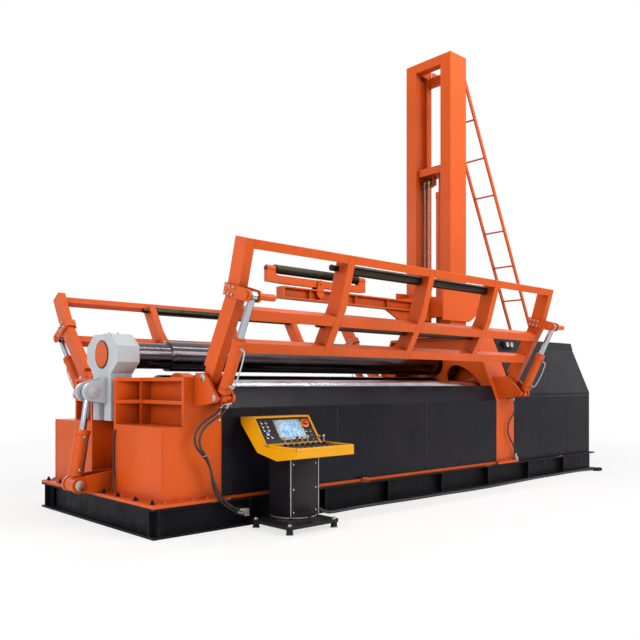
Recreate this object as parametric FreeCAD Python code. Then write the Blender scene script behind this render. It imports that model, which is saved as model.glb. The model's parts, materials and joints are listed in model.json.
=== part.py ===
"""Four roll plate rolling machine with folding support tables, a lifting support arm and a console.

Millimetres. X runs along the rolls towards the drive end, Y away from the operator, Z up.
The origin is on the floor, under the middle of the rolls.
"""
import math
import os

import FreeCAD
import Part
from FreeCAD import Vector

# Base
BASE_LEFT = -3365.0
BASE_RIGHT = 5470.0
BASE_LEDGE = 85.0
BASE_HEIGHT = 298.0
BEAM_WIDTH = 200.0
BEAM_FLANGE = 22.0
BEAM_WEB = 16.0
STIFFENER_GAP = 1100.0
SOLE_PLATE = 32.0

# End frames
FRAME_INNER_X = 2515.0
FRAME_HALF_Y = 1250.0
BASE_HALF_Y = FRAME_HALF_Y + BASE_LEDGE
FLANGE = 40.0
CHEEK_X = 2560.0
CHEEK = 50.0
DROP_WEB_X = 2800.0
DROP_HEAD_X = 2975.0
DROP_TOWER_X = 3225.0
TOWER_SHEET = 30.0
TOWER_TOP = 1070.0
DROP_HEAD_TOP = 1570.0
MID_RIB_Z = 1310.0
SLOT_HALF_Y = 260.0
RIB_Y = 400.0
DRIVE_OUTER_X = 3005.0
DRIVE_SHOULDER_Z = 1290.0
DRIVE_TOP = 2250.0
DRIVE_TOP_HALF_Y = 870.0

# Rolls
TOP_ROLL_Z = 1825.0
TOP_ROLL_R = 177.5
TOP_JOURNAL_R = 150.0
TOP_JOURNAL_X = 2430.0
TOP_CONE_X = 2968.0
TOP_CONE_LENGTH = 120.0
TOP_CONE_BIG_R = 100.0
TOP_CONE_SMALL_R = 65.0
TOP_NECK_R = 140.0
TOP_DRIVE_R = 110.0
TOP_OPENING_R = 215.0
BEARING_R = 260.0
BEARING_X = 2790.0
BOTTOM_ROLL_Z = 1430.0
BOTTOM_NECK_R = 100.0
BLOCK_HALF_Y = 145.0
BLOCK_HALF_Z = 160.0
SIDE_ROLL_R = 150.0
SIDE_JOURNAL_R = 90.0
SIDE_PIVOT_Y = 350.0
SIDE_PIVOT_Z = 1115.0
SIDE_ARM_LENGTH = 516.0
SIDE_REST_ANGLE = 56.5
SIDE_UP = 44.0
SIDE_DOWN = 6.0
SIDE_SLOT_GAP = 35.0
SIDE_PIN_R = 60.0
ARM_X = 2630.0
ARM_THICK = 140.0
ARM_HEAD_R = 220.0
ARM_FOOT_R = 130.0
PIN_GAP = 0.3
SLIDE_GAP = 5.0

# Drop-end yoke and its cylinder
YOKE_PIVOT = (-3100.0, 1170.0)
YOKE_BACK_X = -2975.0
YOKE_FACE_X = -3235.0
YOKE_HALF_Y = 365.0
YOKE_HALF_Z = 223.0
YOKE_TOP_HALF_Y = 190.0
YOKE_SIDE_HALF_Z = 88.0
YOKE_STEM_HALF_Y = 210.0
YOKE_FOOT_R = 80.0
YOKE_FOOT_DEPTH = 70.0
YOKE_PIN_R = 40.0
YOKE_CAP_R = 142.0
YOKE_BORE_GAP = 8.0
LUG_EYE = (-3390.0, 1414.0)
LUG_R = 105.0
LUG_INNER_Y = 58.0
LUG_PLATE = 62.0
DROP_FOOT = (-3550.0, 422.0)
DROP_FOOT_R = 85.0
DROP_EAR_INNER_Y = 90.0
DROP_EAR = 45.0
DROP_BARREL_R = 80.0
DROP_BARREL_LENGTH = 590.0
DROP_ROD_R = 36.0
DROP_EYE_R = 68.0

# Support tables, described upright on their hinge: S up along the posts, D outwards
TABLE_HINGE = (FRAME_HALF_Y + 140.0, 1560.0)
TABLE_LEAN = {"front": 29.0, "back": 44.0}
TABLE_BEND = 13.0
TABLE_BEND_S = 900.0
TABLE_POST_X = (0.0, 1370.0, 2740.0)
TABLE_POST_WIDTH = 100.0
TABLE_BACK_D = -115.0
TABLE_FRONT_D = 75.0
TABLE_TOP_S = 1480.0
RAIL_DEPTH = 100.0
TOP_RAIL_S = 1390.0
MID_RAIL_S = (690.0, 800.0)
LOW_RAIL_S = (330.0, 440.0)
TABLE_FOOT_R = 70.0
TABLE_PIN_R = 25.0
ROLLER_D = -70.0
ROLLER_S = (640.0, 1315.0)
ROLLER_R = 57.5
ROLLER_SHAFT_R = 25.0
ROLLER_STUB = 110.0
EAR_X = (2610.0, 2810.0)
EAR = 30.0
EAR_HINGE_R = 52.0
EAR_FOOT_R = 45.0
EAR_ROOT_Z = 1266.0
TABLE_FOOT = (FRAME_HALF_Y + 330.0, 1360.0)
TABLE_HEAD_D = 240.0
TABLE_HEAD_S = 965.0
TABLE_BARREL_R = 60.0
TABLE_BARREL_LENGTH = 640.0
TABLE_ROD_R = 37.0
TABLE_EYE_R = 46.0
TABLE_EYE_WIDTH = 60.0
ROD_HOLD = {"front": 250.0, "back": 300.0}
CLAMP = 22.0
CLAMP_HEIGHT = 120.0
CLAMP_PIN_R = 34.0
CLAMP_STUB = 190.0

# Column, ladder and support arm
COVER_TOP = 2233.0
COLUMN_X = (2445.0, 2860.0)
COLUMN_INNER_Y = 254.0
COLUMN_OUTER_Y = 454.0
COLUMN_FOOT = 25.0
COLUMN_TOP = 6790.0
COLUMN_BAR = 145.0
COLUMN_GROOVE = 60.0
GROOVE_HALF_X = 90.0
CARRIAGE_GAP = 8.0
CARRIAGE_PLATE = 30.0
CARRIAGE_LOW = 2505.0
CARRIAGE_HIGH = 3000.0
BEAM_Z = 2730.0
BEAM_HALF_Z = 80.0
BEAM_HALF_Y = 75.0
BEAM_LEFT = -690.0
BEAM_RIGHT = 2000.0
CROSSHEAD_Z = 4930.0
CROSSHEAD_HEIGHT = 120.0
CROSSHEAD_INSET = 60.0
SHOE_GAP = 12.0
SHEAVE_Y = (60.0, 150.0)
SHEAVE_WIDTH = 46.0
SHEAVE_R = 78.0
SHEAVE_DROP = 92.0
HANGER_Y = (20.0, 208.0)
HANGER = 18.0
ROD_FOOT_Z = CARRIAGE_HIGH + 20.0
LIFT_Y = -100.0
LIFT_X = (COLUMN_X[0] + COLUMN_X[1]) / 2
LIFT_BARREL_R = 75.0
LIFT_BORE_R = 52.0
LIFT_ROD_R = 36.0
LIFT_BARREL_TOP = 4640.0
CRADLE_PIN_Z = 2905.0
CRADLE_HALF_X = 930.0
CRADLE_ROLLER_Z = 3032.0
CRADLE_ROLLER_R = 61.0
CRADLE_ROLLER_HALF = 780.0
LADDER_TOP = (COLUMN_X[1] + 215.0, COLUMN_TOP - 40.0)
LADDER_FOOT = (5357.0, COVER_TOP)
LADDER_HALF_Y = 212.0
LADDER_SOLE = 12.0
LADDER_RAIL = 60.0
LADDER_RAIL_Y = 28.0
RUNG_R = 15.0
RUNG_PITCH = 662.0

# Sheet metal
PANEL = 12.0
PANEL_Y = FRAME_HALF_Y + 10.0
PANEL_BEND_Z = 1250.0
PANEL_TOP = (1165.0, 1470.0)
COVER = 20.0
COVER_RIGHT = 5440.0

# Console
CONSOLE_X = (-2310.0, -1520.0)
CONSOLE_BACK_Y = -BASE_HALF_Y - 95.0
CONSOLE_BASE = (-2290.0, -1580.0, CONSOLE_BACK_Y - 640.0, CONSOLE_BACK_Y)
CONSOLE_POST = (-2025.0, -1635.0, CONSOLE_BACK_Y - 355.0, CONSOLE_BACK_Y)
CONSOLE_PLATE_Z = (58.0, 90.0)
CONSOLE_DISC_R = 250.0
CONSOLE_PROFILE = ((130.0, 1152.0), (118.0, 1082.0), (-160.0, 793.0), (-474.0, 728.0),
                   (-776.0, 772.0), (-776.0, 848.0), (-290.0, 858.0), (-70.0, 1157.0))

# Hoses and the floor cable: routes of (x, y, z) points, chosen along the photographed runs
HOSE_R = 12.0
CABLE_R = 18.0
OUTER_DROP_HOSE = ((-2530, -1392, 1300), (-2570, -1391, 1215), (-2690, -1388, 1150), (-2820, -1386, 1066),
                   (-2885, -1388, 970), (-2875, -1391, 860), (-2800, -1392, 775), (-2757, -1390, 668),
                   (-2723, -1388, 548), (-2674, -1388, 432), (-2613, -1390, 344), (-2535, -1392, 270),
                   (-2450, -1390, 213), (-2330, -1388, 178))
INNER_DROP_HOSE = ((-2577, -1356, 1300), (-2618, -1357, 1219), (-2728, -1359, 1163), (-2850, -1360, 1092),
                   (-2920, -1360, 996), (-2912, -1360, 882), (-2832, -1359, 797), (-2758, -1358, 711),
                   (-2712, -1357, 600), (-2704, -1358, 478), (-2664, -1360, 368), (-2588, -1361, 282),
                   (-2490, -1360, 215), (-2414, -1358, 168), (-2330, -1357, 150))
DRIVE_HOSE = ((2885, -1305, 1300), (2925, -1308, 1210), (2930, -1312, 1110), (2880, -1314, 1020),
              (2800, -1312, 950), (2748, -1308, 858), (2750, -1306, 755), (2805, -1306, 665),
              (2880, -1308, 590), (2938, -1307, 500), (2972, -1305, 430), (2975, -1305, 366))
FLOOR_CABLE = ((-1600, -1500, 190), (-1480, -1497, 165), (-1370, -1485, 105), (-1255, -1470, 50),
               (-1140, -1447, 21), (-930, -1424, 18.5), (-540, -1400, 18.5), (-40, -1424, 18.5),
               (460, -1451, 18.5), (960, -1446, 18.5), (1460, -1478, 18.5), (1960, -1482, 18.5),
               (2460, -1455, 18.5), (2960, -1432, 18.5), (3460, -1402, 18.5), (3960, -1409, 18.5),
               (4430, -1396, 18.5), (4800, -1404, 18.5), (4970, -1450, 22), (5071, -1526, 32))


def box(x0, x1, y0, y1, z0, z1):
    return Part.makeBox(x1 - x0, y1 - y0, z1 - z0, Vector(x0, y0, z0))


def cyl_x(y, z, r, x0, x1):
    return Part.makeCylinder(r, x1 - x0, Vector(x0, y, z), Vector(1, 0, 0))


def cyl_y(x, z, r, y0, y1):
    return Part.makeCylinder(r, y1 - y0, Vector(x, y0, z), Vector(0, 1, 0))


def cyl_z(x, y, r, z0, z1):
    return Part.makeCylinder(r, z1 - z0, Vector(x, y, z0), Vector(0, 0, 1))


def prism_x(points, x0, x1):
    """A polygon of (y, z) points, extruded along X."""
    wire = Part.makePolygon([Vector(x0, y, z) for y, z in points] + [Vector(x0, *points[0])])
    return Part.Face(wire).extrude(Vector(x1 - x0, 0, 0))


def prism_y(points, y0, y1):
    """A polygon of (x, z) points, extruded along Y."""
    corners = [Vector(x, y0, z) for x, z in points]
    return Part.Face(Part.makePolygon(corners + corners[:1])).extrude(Vector(0, y1 - y0, 0))


def prism_z(points, z0, z1):
    """A polygon of (x, y) points, extruded along Z."""
    corners = [Vector(x, y, z0) for x, y in points]
    return Part.Face(Part.makePolygon(corners + corners[:1])).extrude(Vector(0, 0, z1 - z0))


def strap_wire(first, second):
    """The outline round two discs (u, v, radius), as two arcs joined by their outer tangents."""
    (u0, v0, r0), (u1, v1, r1) = first, second
    along = math.atan2(v1 - v0, u1 - u0)
    tilt = math.acos((r0 - r1) / math.hypot(u1 - u0, v1 - v0))

    def on(centre, angle):
        u, v, r = centre
        return (u + r * math.cos(angle), v + r * math.sin(angle))

    a, b = on(first, along + tilt), on(second, along + tilt)
    c, d = on(second, along - tilt), on(first, along - tilt)
    return a, b, on(second, along), c, d, on(first, along + math.pi)


def strap(first, second, plane, low, high):
    """A plate with two round ends, in the plane "yz" or "xz", from low to high across it."""
    if plane == "yz":
        place = [Vector(low, u, v) for u, v in strap_wire(first, second)]
        way = Vector(high - low, 0, 0)
    else:
        place = [Vector(u, low, v) for u, v in strap_wire(first, second)]
        way = Vector(0, high - low, 0)
    a, b, tip, c, d, heel = place
    edges = [Part.LineSegment(a, b).toShape(), Part.Arc(b, tip, c).toShape(),
             Part.LineSegment(c, d).toShape(), Part.Arc(d, heel, a).toShape()]
    return Part.Face(Part.Wire(edges)).extrude(way)


def fused(shapes):
    """One solid from shapes that meet."""
    return shapes[0].multiFuse(shapes[1:]).removeSplitter()


def flip_y(shape):
    return shape.mirror(Vector(0, 0, 0), Vector(0, 1, 0))


def flip_x(shape):
    return shape.mirror(Vector(0, 0, 0), Vector(1, 0, 0))


def both_y(shapes):
    return shapes + [flip_y(s) for s in shapes]


def turned(shape, centre, axis, angle):
    shape = shape.copy()
    shape.rotate(centre, axis, angle)
    return shape


# Base

def i_beam(half_outer, top):
    """The (across, height) outline of an I section, from 0 to half_outer's side inwards."""
    outer, inner = half_outer, half_outer - BEAM_WIDTH
    web0, web1 = (outer + inner + BEAM_WEB) / 2, (outer + inner - BEAM_WEB) / 2
    low, high = BEAM_FLANGE, top - BEAM_FLANGE
    return [(outer, 0), (outer, low), (web0, low), (web0, high), (outer, high), (outer, top),
            (inner, top), (inner, high), (web1, high), (web1, low), (inner, low), (inner, 0)]


def base_side_beams():
    outline = [(-y, z) for y, z in i_beam(BASE_HALF_Y, BASE_HEIGHT)]
    beam = [prism_x(outline, BASE_LEFT, BASE_RIGHT)]
    count = int((BASE_RIGHT - BASE_LEFT - 120) // STIFFENER_GAP)
    for n in range(count + 1):
        x = BASE_LEFT + 60 + n * STIFFENER_GAP
        beam.append(box(x, x + BEAM_WEB, -BASE_HALF_Y + 6, -BASE_HALF_Y + BEAM_WIDTH - 6,
                        BEAM_FLANGE - 1, BASE_HEIGHT - BEAM_FLANGE + 1))
    return both_y([fused(beam)])


def base_cross_beams():
    inner = BASE_HALF_Y - BEAM_WIDTH
    rights = (BASE_LEFT + BEAM_WIDTH, -FRAME_INNER_X, BEAM_WIDTH / 2, FRAME_INNER_X + BEAM_WIDTH,
              BASE_RIGHT)
    beams = []
    for right in rights:
        outline = i_beam(right, BASE_HEIGHT)
        beams.append(prism_y(outline, -inner, inner))
    return beams


def sole_plates():
    top = BASE_HEIGHT + SOLE_PLATE
    left = box(BASE_LEFT, -FRAME_INNER_X + 60, -BASE_HALF_Y, BASE_HALF_Y, BASE_HEIGHT, top)
    right = box(FRAME_INNER_X - 60, DRIVE_OUTER_X, -BASE_HALF_Y, BASE_HALF_Y, BASE_HEIGHT, top)
    ledge = box(-FRAME_INNER_X + 60, FRAME_INNER_X - 60, -BASE_HALF_Y + 40, -PANEL_Y + 90,
                BASE_HEIGHT, top)
    return [left, right] + both_y([ledge])


# End frames

def side_slot(x0, x1):
    """The way of the front side roll through a cheek: a ring sector with round ends."""
    radius = SIDE_ROLL_R + SIDE_SLOT_GAP
    centre = Vector(x0, -SIDE_PIVOT_Y, SIDE_PIVOT_Z)
    way = Vector(x1 - x0, 0, 0)

    def arc_at(distance, low, high):
        points = []
        for angle in (low, (low + high) / 2, high):
            a = math.radians(angle)
            points.append(centre + Vector(0, -distance * math.sin(a), distance * math.cos(a)))
        return points

    low = SIDE_REST_ANGLE - SIDE_UP
    high = SIDE_REST_ANGLE + SIDE_DOWN
    o1, o2, o3 = arc_at(SIDE_ARM_LENGTH + radius, low, high)
    i1, i2, i3 = arc_at(SIDE_ARM_LENGTH - radius, low, high)
    half = math.degrees(radius / SIDE_ARM_LENGTH)
    e_high = arc_at(SIDE_ARM_LENGTH, high + half, high + half)[0]
    e_low = arc_at(SIDE_ARM_LENGTH, low - half, low - half)[0]
    edges = [Part.Arc(o1, o2, o3).toShape(), Part.Arc(o3, e_high, i3).toShape(),
             Part.Arc(i3, i2, i1).toShape(), Part.Arc(i1, e_low, o1).toShape()]
    return Part.Face(Part.Wire(edges)).extrude(way)


def roll_ways(x0, x1, with_top):
    """What a cheek leaves open for the rolls."""
    slot = side_slot(x0, x1)
    ways = [slot, flip_y(slot)]
    half_y, half_z = BLOCK_HALF_Y + SLIDE_GAP, BLOCK_HALF_Z - 20
    ways.append(box(x0, x1, -half_y, half_y, BOTTOM_ROLL_Z - half_z, BOTTOM_ROLL_Z + half_z))
    if with_top:
        ways.append(cyl_x(0, TOP_ROLL_Z, TOP_OPENING_R, x0, x1))
    return ways


def drop_end_frame():
    low = BASE_HEIGHT + SOLE_PLATE
    y = FRAME_HALF_Y
    cheek = box(-CHEEK_X - CHEEK, -CHEEK_X, -y, y, low, DROP_HEAD_TOP)
    for way in roll_ways(-CHEEK_X - CHEEK - 1, -CHEEK_X + 1, False):
        cheek = cheek.cut(way)
    back_x = -DROP_WEB_X - CHEEK
    pieces = [cheek, box(back_x, -DROP_WEB_X, -y, y, low, DROP_HEAD_TOP)]
    half = [
        box(-DROP_TOWER_X, -DROP_TOWER_X + TOWER_SHEET, -y, -SLOT_HALF_Y, low, TOWER_TOP),
        box(-DROP_TOWER_X, back_x, -SLOT_HALF_Y - FLANGE, -SLOT_HALF_Y, low, DROP_HEAD_TOP),
        box(-DROP_TOWER_X, -FRAME_INNER_X, -y, -y + FLANGE, low, TOWER_TOP),
        box(-DROP_HEAD_X, -FRAME_INNER_X, -y, -y + FLANGE, TOWER_TOP - 1, DROP_HEAD_TOP),
        box(-DROP_TOWER_X, back_x, -y, -SLOT_HALF_Y, TOWER_TOP - FLANGE, TOWER_TOP),
        box(-DROP_HEAD_X, back_x, -RIB_Y, -RIB_Y + FLANGE, TOWER_TOP - 1, DROP_HEAD_TOP - 1),
        cyl_x(-SIDE_PIVOT_Y, SIDE_PIVOT_Z, SIDE_PIN_R, -DROP_WEB_X - 1, -CHEEK_X - 1),
    ]
    shelf = [(-DROP_HEAD_X, -y), (back_x, -y), (back_x, -SLOT_HALF_Y), (-DROP_TOWER_X, -SLOT_HALF_Y),
             (-DROP_TOWER_X, -SLOT_HALF_Y - FLANGE), (-DROP_HEAD_X, -RIB_Y)]
    for z in (DROP_HEAD_TOP - FLANGE, MID_RIB_Z - FLANGE / 2):
        half.append(prism_z(shelf, z, z + FLANGE))
    reach = SLOT_HALF_Y + FLANGE - 5 + PIN_GAP
    pin_bore = cyl_y(*YOKE_PIVOT, YOKE_PIN_R + PIN_GAP, -reach, reach)
    return [fused(pieces + both_y(half)).cut(pin_bore)]


def drive_outline(inset=0.0):
    """The drive-end frame's (y, z) outline, or the same moved inwards."""
    low = BASE_HEIGHT + SOLE_PLATE
    slope = math.atan2(FRAME_HALF_Y - DRIVE_TOP_HALF_Y, DRIVE_TOP - DRIVE_SHOULDER_Z)
    y0 = FRAME_HALF_Y - inset
    shoulder = DRIVE_SHOULDER_Z - inset * math.tan(slope / 2)
    top = DRIVE_TOP - inset
    y1 = y0 - (top - shoulder) * math.tan(slope)
    right = [(y0, low), (y0, shoulder), (y1, top)]
    return right + [(-y, z) for y, z in reversed(right)]


def drive_end_frame():
    rim = prism_x(drive_outline(), FRAME_INNER_X, DRIVE_OUTER_X)
    rim = rim.cut(prism_x(drive_outline(FLANGE), FRAME_INNER_X - 1, DRIVE_OUTER_X + 1))
    cheek = prism_x(drive_outline(FLANGE / 2), CHEEK_X, CHEEK_X + CHEEK)
    for way in roll_ways(CHEEK_X - 1, CHEEK_X + CHEEK + 1, True):
        cheek = cheek.cut(way)
    outer = prism_x(drive_outline(FLANGE / 2), DRIVE_OUTER_X - CHEEK, DRIVE_OUTER_X)
    outer = outer.cut(cyl_x(0, TOP_ROLL_Z, TOP_DRIVE_R + 20, DRIVE_OUTER_X - CHEEK - 1,
                            DRIVE_OUTER_X + 1))
    pin = cyl_x(-SIDE_PIVOT_Y, SIDE_PIVOT_Z, SIDE_PIN_R, CHEEK_X + 1, DRIVE_OUTER_X - 1)
    return [fused([rim, cheek, outer] + both_y([pin]))]


def top_roll_bearing():
    ring = cyl_x(0, TOP_ROLL_Z, BEARING_R, BEARING_X, DRIVE_OUTER_X - CHEEK)
    lip = cyl_x(0, TOP_ROLL_Z, BEARING_R - 60, BEARING_X - 12, BEARING_X)
    hole = cyl_x(0, TOP_ROLL_Z, TOP_DRIVE_R + PIN_GAP, BEARING_X - 13, DRIVE_OUTER_X)
    return [ring.fuse(lip).cut(hole).removeSplitter()]


def bottom_roll_blocks():
    hole = cyl_x(0, BOTTOM_ROLL_Z, BOTTOM_NECK_R + PIN_GAP, CHEEK_X, DROP_WEB_X)
    block = box(CHEEK_X + 5, DROP_WEB_X, -BLOCK_HALF_Y, BLOCK_HALF_Y,
                BOTTOM_ROLL_Z - BLOCK_HALF_Z + 25, BOTTOM_ROLL_Z + BLOCK_HALF_Z - 25).cut(hole)
    return [block, flip_x(block)]


# Rolls

def lathe_x(profile, y, z):
    """A turned piece: (x, radius) points from left to right, round an axis along X."""
    points = [Vector(profile[0][0], y, z)]
    points += [Vector(x, y, z + r) for x, r in profile]
    points += [Vector(profile[-1][0], y, z), points[0]]
    face = Part.Face(Part.makePolygon(points))
    return face.revolve(Vector(0, y, z), Vector(1, 0, 0), 360)


def top_roll():
    tip = -TOP_CONE_X - TOP_CONE_LENGTH
    drive_end = DRIVE_OUTER_X + 115
    profile = [(tip, TOP_CONE_SMALL_R), (-TOP_CONE_X, TOP_CONE_BIG_R), (-TOP_CONE_X, TOP_JOURNAL_R),
               (-TOP_JOURNAL_X - 12, TOP_JOURNAL_R), (-TOP_JOURNAL_X, TOP_JOURNAL_R + 10),
               (-TOP_JOURNAL_X, TOP_ROLL_R - 6), (-TOP_JOURNAL_X + 6, TOP_ROLL_R),
               (CHEEK_X + 34, TOP_ROLL_R), (CHEEK_X + 40, TOP_ROLL_R - 6), (CHEEK_X + 40, TOP_NECK_R),
               (BEARING_X - 20, TOP_NECK_R), (BEARING_X - 20, TOP_DRIVE_R), (drive_end, TOP_DRIVE_R)]
    return [lathe_x(profile, 0, TOP_ROLL_Z)]


def bottom_roll():
    end = CHEEK_X - 20
    half = [(DROP_WEB_X - 5, BOTTOM_NECK_R), (end, BOTTOM_NECK_R), (end, TOP_ROLL_R - 6),
            (end - 6, TOP_ROLL_R)]
    profile = [(-x, r) for x, r in half] + [(x, r) for x, r in reversed(half)]
    return [lathe_x(profile, 0, BOTTOM_ROLL_Z)]


def side_roll_axis():
    a = math.radians(SIDE_REST_ANGLE)
    return (-SIDE_PIVOT_Y - SIDE_ARM_LENGTH * math.sin(a), SIDE_PIVOT_Z + SIDE_ARM_LENGTH * math.cos(a))


def front_side_roll():
    end = ARM_X - SLIDE_GAP
    half = [(ARM_X + ARM_THICK + 8, SIDE_JOURNAL_R), (end, SIDE_JOURNAL_R), (end, SIDE_ROLL_R - 5),
            (end - 5, SIDE_ROLL_R)]
    profile = [(-x, r) for x, r in half] + [(x, r) for x, r in reversed(half)]
    return [lathe_x(profile, *side_roll_axis())]


def front_side_arms():
    y, z = side_roll_axis()
    x0, x1 = ARM_X, ARM_X + ARM_THICK
    arm = strap((-SIDE_PIVOT_Y, SIDE_PIVOT_Z, ARM_FOOT_R), (y, z, ARM_HEAD_R), "yz", x0, x1)
    arm = arm.cut(cyl_x(-SIDE_PIVOT_Y, SIDE_PIVOT_Z, SIDE_PIN_R + PIN_GAP, x0 - 1, x1 + 1))
    arm = arm.cut(cyl_x(y, z, SIDE_JOURNAL_R + PIN_GAP, x0 - 1, x1 + 1))
    return [arm, flip_x(arm)]


# Drop-end yoke and its cylinder

def drop_end_yoke():
    px, pz = YOKE_PIVOT
    y0, z0 = YOKE_HALF_Y, YOKE_SIDE_HALF_Z
    y1, z1 = YOKE_TOP_HALF_Y, YOKE_HALF_Z
    ring = [(y0, -z0), (y0, z0), (y1, z1), (-y1, z1), (-y0, z0), (-y0, -z0), (-y1, -z1), (y1, -z1)]
    head = prism_x([(y, TOP_ROLL_Z + z) for y, z in ring], YOKE_FACE_X, YOKE_BACK_X)
    bottom = pz - YOKE_FOOT_DEPTH
    stem = prism_y([(YOKE_FACE_X, TOP_ROLL_Z - z1 + 20), (YOKE_FACE_X, bottom),
                    (px + YOKE_FOOT_R, bottom), (YOKE_BACK_X - 10, pz + 120),
                    (YOKE_BACK_X - 10, TOP_ROLL_Z - z1 + 20)], -YOKE_STEM_HALF_Y, YOKE_STEM_HALF_Y)
    foot = cyl_y(px, pz, YOKE_FOOT_R, -YOKE_STEM_HALF_Y, YOKE_STEM_HALF_Y)
    ex, ez = LUG_EYE
    lug = strap((px - 60, pz + 260, 150), (ex, ez, LUG_R), "xz", LUG_INNER_Y, LUG_INNER_Y + LUG_PLATE)
    pin = cyl_y(px, pz, YOKE_PIN_R, -SLOT_HALF_Y - FLANGE + 5, SLOT_HALF_Y + FLANGE - 5)
    yoke = fused([head, stem, foot, pin] + both_y([lug]))
    well = box(YOKE_FACE_X - 200, YOKE_FACE_X + 90, -LUG_INNER_Y, LUG_INNER_Y, pz - 90, ez + LUG_R + 30)
    yoke = yoke.cut(well)
    slope = (TOP_CONE_BIG_R - TOP_CONE_SMALL_R) / TOP_CONE_LENGTH
    depth = YOKE_BACK_X + TOP_CONE_X + TOP_CONE_LENGTH + 12
    big = TOP_CONE_BIG_R + YOKE_BORE_GAP
    bore = Part.makeCone(big - slope * depth, big, depth, Vector(YOKE_BACK_X - depth, 0, TOP_ROLL_Z),
                         Vector(1, 0, 0))
    return [yoke.cut(bore)]


def yoke_cap():
    cap = cyl_x(0, TOP_ROLL_Z, YOKE_CAP_R, YOKE_FACE_X - 14, YOKE_FACE_X)
    return [cap.makeChamfer(5, [e for e in cap.Edges if abs(e.BoundBox.XMax - YOKE_FACE_X + 14) < 0.1
                                and e.BoundBox.XLength < 0.1])]


def upright(piece, foot, head):
    """Turns a piece that stands on foot, (x, z), so that it points at head."""
    angle = math.degrees(math.atan2(head[0] - foot[0], head[1] - foot[1]))
    return turned(piece, Vector(foot[0], 0, foot[1]), Vector(0, 1, 0), angle)


def barrel(x, y, z, r, bore, rod, start, length):
    """A cylinder barrel along Z from start to length above (x, y, z), bored for its rod."""
    body = cyl_z(x, y, r, z + start, z + length)
    collar = cyl_z(x, y, r + 6, z + length - 50, z + length)
    foot = cyl_z(x, y, r + 4, z + start, z + start + 40)
    hollow = cyl_z(x, y, bore, z + start + 30, z + length - 60)
    hole = cyl_z(x, y, rod + PIN_GAP, z + length - 70, z + length + 1)
    return fused([body, collar, foot]).cut(hollow).cut(hole)


def drop_cylinder():
    x, z = DROP_FOOT
    body = barrel(x, 0, z, DROP_BARREL_R, DROP_BARREL_R - 16, DROP_ROD_R, 90, DROP_BARREL_LENGTH)
    eye = cyl_y(x, z, DROP_FOOT_R - 10, -DROP_EAR_INNER_Y + 5, DROP_EAR_INNER_Y - 5)
    neck = cyl_z(x, 0, DROP_BARREL_R - 20, z, z + 92)
    body = fused([body, eye, neck]).cut(cyl_y(x, z, YOKE_PIN_R + PIN_GAP, -200, 200))
    return [upright(body, DROP_FOOT, LUG_EYE)]


def drop_rod():
    x, z = DROP_FOOT
    reach = math.hypot(LUG_EYE[0] - x, LUG_EYE[1] - z)
    rod = cyl_z(x, 0, DROP_ROD_R, z + 440, z + reach - 20)
    piston = cyl_z(x, 0, DROP_BARREL_R - 16.5, z + 440, z + 500)
    eye = cyl_y(x, z + reach, DROP_EYE_R, -LUG_INNER_Y + 6, LUG_INNER_Y - 6)
    return [upright(fused([rod, piston, eye]), DROP_FOOT, LUG_EYE)]


def drop_cylinder_ears():
    x, z = DROP_FOOT
    y0, y1 = DROP_EAR_INNER_Y, DROP_EAR_INNER_Y + DROP_EAR
    floor = BASE_HEIGHT + SOLE_PLATE
    ear = strap((x, z, DROP_FOOT_R), (-DROP_TOWER_X + 60, floor + 110, 110), "xz", y0, y1)
    root = box(-DROP_TOWER_X + 60, -DROP_WEB_X - CHEEK, y0, y1, floor, floor + 220)
    pin = cyl_y(x, z, YOKE_PIN_R, -y1 - 12, y1 + 12)
    bar = box(-DROP_TOWER_X + 120, -DROP_TOWER_X + 170, -y0 - 5, y0 + 5, floor, floor + 160)
    return [fused(both_y([ear, root]) + [pin, bar])]


# Support tables

def table_piece(shape, side):
    """Takes a shape from the upright table, drawn round the X axis, to a table at the front."""
    shape = shape.copy()
    shape.translate(Vector(0, -TABLE_HINGE[0], TABLE_HINGE[1]))
    return turned(shape, Vector(0, -TABLE_HINGE[0], TABLE_HINGE[1]), Vector(1, 0, 0), TABLE_LEAN[side])


def bent(shape):
    """Turns what lies above the bend of the posts, so that it stands steeper."""
    return turned(shape, Vector(0, -TABLE_FRONT_D, TABLE_BEND_S), Vector(1, 0, 0), -TABLE_BEND)


def table_head(side):
    """The (distance out, height) of the cylinder's upper pin on a table."""
    bend, lean = math.radians(TABLE_BEND), math.radians(TABLE_LEAN[side])
    out, up = TABLE_HEAD_D - TABLE_FRONT_D, TABLE_HEAD_S - TABLE_BEND_S
    d = TABLE_FRONT_D + out * math.cos(bend) - up * math.sin(bend)
    s = TABLE_BEND_S + out * math.sin(bend) + up * math.cos(bend)
    return (TABLE_HINGE[0] + d * math.cos(lean) + s * math.sin(lean),
            TABLE_HINGE[1] - d * math.sin(lean) + s * math.cos(lean))


def table_box(x0, x1, d0, d1, s0, s1):
    return box(x0, x1, -d1, -d0, s0, s1)


def post_centres():
    return [-x for x in reversed(TABLE_POST_X[1:])] + list(TABLE_POST_X)


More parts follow.
